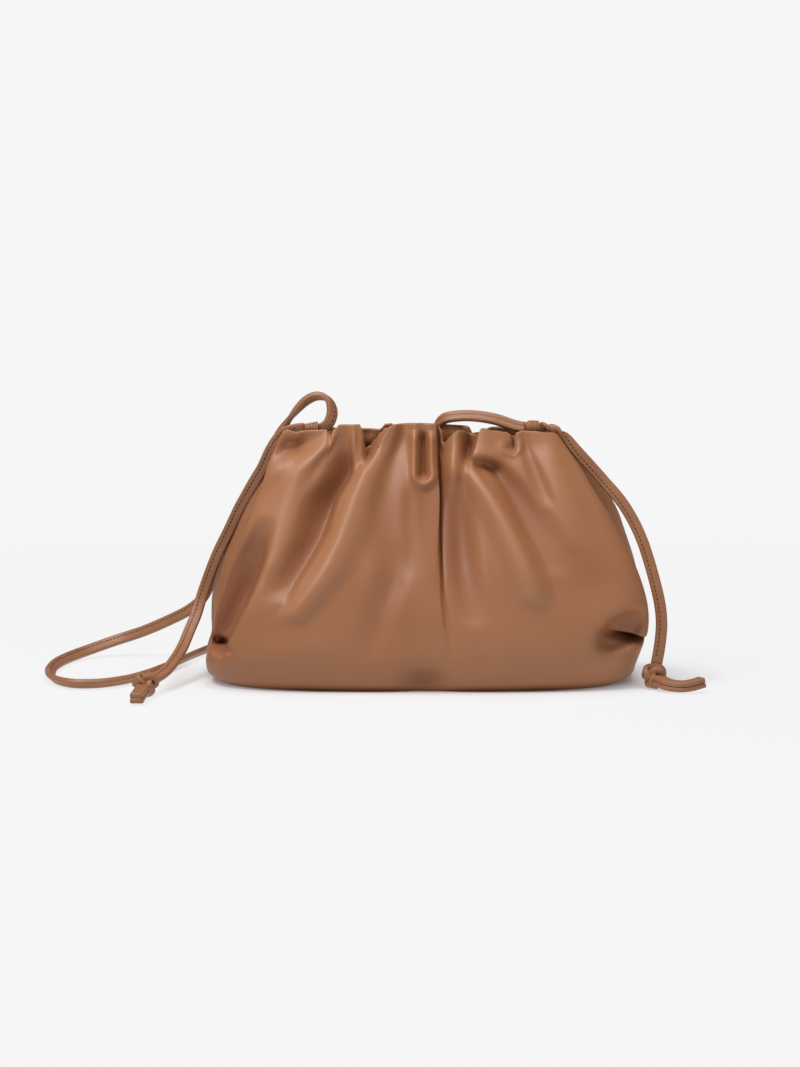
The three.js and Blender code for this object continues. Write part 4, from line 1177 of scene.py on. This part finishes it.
def make_grain_group():
    group, given, result = new_group("leather_grain", GRAIN_INPUTS, ["Height", "Tone"])
    place = group.nodes.new("ShaderNodeTexCoord")
    pores = group.nodes.new("ShaderNodeTexVoronoi")
    pores.feature = "SMOOTH_F1"
    pores.inputs["Smoothness"].default_value = 0.6
    wrinkles = group.nodes.new("ShaderNodeTexNoise")
    wrinkles.inputs["Detail"].default_value = 5.0
    wrinkles.inputs["Roughness"].default_value = 0.62
    tone = group.nodes.new("ShaderNodeTexNoise")
    tone.inputs["Detail"].default_value = 3.0
    scales = {"Pores per metre": pores, "Wrinkles per metre": wrinkles, "Tone per metre": tone}
    for scale, node in scales.items():
        group.links.new(place.outputs["Object"], node.inputs["Vector"])
        group.links.new(given.outputs[scale], node.inputs["Scale"])
    wrinkle_height = math_node(group, "MULTIPLY", wrinkles.outputs["Fac"], given.outputs["Wrinkle share"])
    height = math_node(group, "ADD", pores.outputs["Distance"], wrinkle_height)
    group.links.new(height, result.inputs["Height"])
    group.links.new(tone.outputs["Fac"], result.inputs["Tone"])
    return group


GRAIN = make_grain_group()
print("grain group has", len(GRAIN.nodes), "nodes")

# %% [markdown]
# The pouch's leather is a warm caramel brown with a soft half gloss. The hollows of the folds are
# painted a little darker and redder, as painted shade for the light that bounces inside them and picks
# the colour up twice, and the ridges are painted a little paler, as a painted highlight. The strap is of
# a like leather with a finer, more wrinkled grain.

# %% Finish: the two leathers
DRIFT = 0.55
# how far the hollow mask paints shade into the hollows and a highlight onto the ridges
HOLLOW_SHADE = 0.32
GLOSS_DRIFT = 0.12
GRAIN_DEPTH = 0.06 * MM


def leather(name, dark, middle, pale, roughness, bump_strength, grain):
    """A leather from three colours; grain gives values for the grain group."""
    material, tree, shader = new_material(name)
    skin_grain = tree.nodes.new("ShaderNodeGroup")
    skin_grain.node_tree = GRAIN
    for label, value in grain.items():
        skin_grain.inputs[label].default_value = value
    hollow = tree.nodes.new("ShaderNodeAttribute")
    hollow.attribute_name = "hollow"
    tone = skin_grain.outputs["Tone"]
    drift = math_node(tree, "MULTIPLY", math_node(tree, "SUBTRACT", tone, 0.5), DRIFT)
    # painted shade from the hollow mask, darker in hollows and paler on ridges, added to the random tone
    depth = math_node(tree, "MULTIPLY", hollow.outputs["Fac"], HOLLOW_SHADE)
    shade = math_node(tree, "ADD", math_node(tree, "SUBTRACT", 0.5, depth), drift)
    ramp = colour_ramp(tree, shade, [(0.0, dark), (0.5, middle), (1.0, pale)])
    rough = math_node(tree, "ADD", math_node(tree, "MULTIPLY", tone, GLOSS_DRIFT), roughness)
    normal = bump(tree, skin_grain.outputs["Height"], bump_strength, GRAIN_DEPTH)
    tree.links.new(ramp.outputs["Color"], shader.inputs["Base Color"])
    tree.links.new(rough, shader.inputs["Roughness"])
    tree.links.new(normal, shader.inputs["Normal"])
    shader.inputs["Specular IOR Level"].default_value = 0.5
    return material


POUCH_LEATHER = leather(
    "pouch_leather", (0.250, 0.088, 0.034), (0.362, 0.146, 0.060), (0.430, 0.192, 0.090), 0.42, 0.35,
    {"Pores per metre": 1700.0, "Wrinkles per metre": 240.0, "Wrinkle share": 0.5, "Tone per metre": 14.0},
)
STRAP_LEATHER = leather(
    "strap_leather", (0.210, 0.080, 0.034), (0.330, 0.140, 0.064), (0.430, 0.205, 0.105), 0.40, 0.5,
    {"Pores per metre": 2200.0, "Wrinkles per metre": 700.0, "Wrinkle share": 0.8, "Tone per metre": 60.0},
)
pouch.data.materials.append(POUCH_LEATHER)
strap_pieces = (long_strap, left_tail, right_tail, left_hitch, right_hitch, left_knot, right_knot)
for piece in strap_pieces:
    piece.data.materials.append(STRAP_LEATHER)
print(POUCH_LEATHER.name, "is on the pouch and", STRAP_LEATHER.name, "on", len(strap_pieces), "pieces")

# %% [markdown]
# The thread of the stitches is waxed and a little darker than the leather, and a fine slanting wave
# gives its twist. The needle's holes are painted shade: almost black, with a little noise, and they
# don't shine.

# %% Finish: thread, and painted shade in the holes
THREAD_COLOURS = [(0.0, (0.180, 0.075, 0.034)), (1.0, (0.330, 0.150, 0.072))]
# painted shade inside the needle's holes
HOLE_SHADE_COLOURS = [(0.0, (0.012, 0.005, 0.003)), (1.0, (0.050, 0.020, 0.010))]


def make_thread():
    material, tree, shader = new_material("waxed_thread")
    place = tree.nodes.new("ShaderNodeTexCoord")
    twist = tree.nodes.new("ShaderNodeTexWave")
    twist.bands_direction = "DIAGONAL"
    twist.inputs["Scale"].default_value = 900.0
    twist.inputs["Distortion"].default_value = 1.5
    ramp = colour_ramp(tree, twist.outputs["Fac"], THREAD_COLOURS)
    normal = bump(tree, twist.outputs["Fac"], 0.5, 0.05 * MM)
    tree.links.new(place.outputs["Object"], twist.inputs["Vector"])
    tree.links.new(ramp.outputs["Color"], shader.inputs["Base Color"])
    tree.links.new(normal, shader.inputs["Normal"])
    shader.inputs["Roughness"].default_value = 0.55
    return material


def make_hole_shade():
    material, tree, shader = new_material("needle_hole_shade")
    uneven = tree.nodes.new("ShaderNodeTexNoise")
    uneven.inputs["Scale"].default_value = 1500.0
    ramp = colour_ramp(tree, uneven.outputs["Fac"], HOLE_SHADE_COLOURS)
    tree.links.new(ramp.outputs["Color"], shader.inputs["Base Color"])
    shader.inputs["Roughness"].default_value = 0.9
    shader.inputs["Specular IOR Level"].default_value = 0.1
    return material


thread, hole = make_thread(), make_hole_shade()
for piece in (long_stitches, left_stitches, right_stitches):
    piece.data.materials.append(thread)
    piece.data.materials.append(hole)
print("stitches take", thread.name, "and", hole.name)

# %% [markdown]
# The bag stands on a pale floor that runs out to a pale background. Under the bag the floor is plain
# paint, which takes the shadow. Just round the bag it already glows in part, which keeps the shadow
# faint, and far away it glows as the background does, so that no edge shows.

# %% Floor
BACKDROP = (0.922, 0.922, 0.925)
PAINT = (0.82, 0.82, 0.82)
FLOOR_RADIUS = 9.0
FLOOR_SIDES = 96
ALONG_THE_BAG = 0.5
# metres from the middle of the bag, halved along its length, and the share of glow there
FLOOR_GLOW = [(0.050, 0.0), (0.064, 0.45), (0.085, 0.85), (0.30, 0.93), (0.80, 1.0)]


def make_floor():
    turns = [2 * math.pi * i / FLOOR_SIDES for i in range(FLOOR_SIDES)]
    rim = [(FLOOR_RADIUS * math.cos(turn), FLOOR_RADIUS * math.sin(turn), 0) for turn in turns]
    return mesh_object("floor", rim, [tuple(range(FLOOR_SIDES))], smooth=False)


def mixed(tree, share, one, two, output_type):
    """The output of the tree, mixed from two shaders by a share."""
    mix = tree.nodes.new("ShaderNodeMixShader")
    output = tree.nodes.new(output_type)
    tree.links.new(share, mix.inputs["Fac"])
    tree.links.new(one, mix.inputs[1])
    tree.links.new(two, mix.inputs[2])
    tree.links.new(mix.outputs["Shader"], output.inputs["Surface"])


def floor_paint():
    material, tree, _ = new_material("floor_paint")
    nodes = tree.nodes
    nodes.clear()
    place = nodes.new("ShaderNodeTexCoord")
    squash = nodes.new("ShaderNodeVectorMath")
    squash.operation = "MULTIPLY"
    squash.inputs[1].default_value = (ALONG_THE_BAG, 1.0, 1.0)
    reach = nodes.new("ShaderNodeVectorMath")
    reach.operation = "LENGTH"
    tree.links.new(place.outputs["Object"], squash.inputs[0])
    tree.links.new(squash.outputs["Vector"], reach.inputs[0])
    blend = colour_ramp(tree, reach.outputs["Value"], [(out, (glow,) * 3) for out, glow in FLOOR_GLOW])
    blend.color_ramp.interpolation = "EASE"
    near = nodes.new("ShaderNodeBsdfDiffuse")
    near.inputs["Color"].default_value = (*PAINT, 1)
    far = nodes.new("ShaderNodeEmission")
    far.inputs["Color"].default_value = (*BACKDROP, 1)
    share = blend.outputs["Color"]
    mixed(tree, share, near.outputs["BSDF"], far.outputs["Emission"], "ShaderNodeOutputMaterial")
    return material


floor = make_floor()
floor.data.materials.append(floor_paint())
print("floor is", 2 * FLOOR_RADIUS, "m across")

# %% [markdown]
# The camera sees a plain pale background, and the bag itself is lit by a much weaker, slightly cool
# one, which only fills the deepest shade. A light path tells the two apart.

# %% Background
FILL_COLOUR = (0.95, 0.97, 1.0)
FILL_STRENGTH = 0.18


def make_background():
    world = bpy.data.worlds.new("background")
    world.use_nodes = True
    tree = world.node_tree
    tree.nodes.clear()
    seen = tree.nodes.new("ShaderNodeBackground")
    seen.inputs["Color"].default_value = (*BACKDROP, 1)
    fill = tree.nodes.new("ShaderNodeBackground")
    fill.inputs["Color"].default_value = (*FILL_COLOUR, 1)
    fill.inputs["Strength"].default_value = FILL_STRENGTH
    share = tree.nodes.new("ShaderNodeLightPath").outputs["Is Camera Ray"]
    mixed(tree, share, fill.outputs["Background"], seen.outputs["Background"], "ShaderNodeOutputWorld")
    return world


bpy.context.scene.world = make_background()
bpy.context.scene.view_settings.view_transform = "Standard"
print("background fills the shade at", FILL_STRENGTH)

# %% [markdown]
# The light of the photograph is soft and comes from above, in front and a little to the left: the
# folds are dark on their right flanks and lit on their left ones. Large square lights give it,
# because the size of a light, not its power, makes a shadow soft.

# %% Lights
LIGHT_AIM = Vector((0.0, 0.0, 0.06))


def area_light(name, place, size, watts):
    data = bpy.data.lights.new(name, "AREA")
    data.size = size
    data.energy = watts
    light = bpy.data.objects.new(name, data)
    light.location = place
    light.rotation_euler = (LIGHT_AIM - Vector(place)).to_track_quat("-Z", "Y").to_euler()
    bpy.context.collection.objects.link(light)
    print(name, "is", size, "m square and gives", watts, "W")


area_light("over_left", (-0.60, -0.48, 1.20), 0.50, 11.5)
area_light("over_top", (0.10, -0.12, 1.40), 0.8, 8.5)
area_light("right_front", (0.9, -1.3, 0.45), 0.7, 1.6)
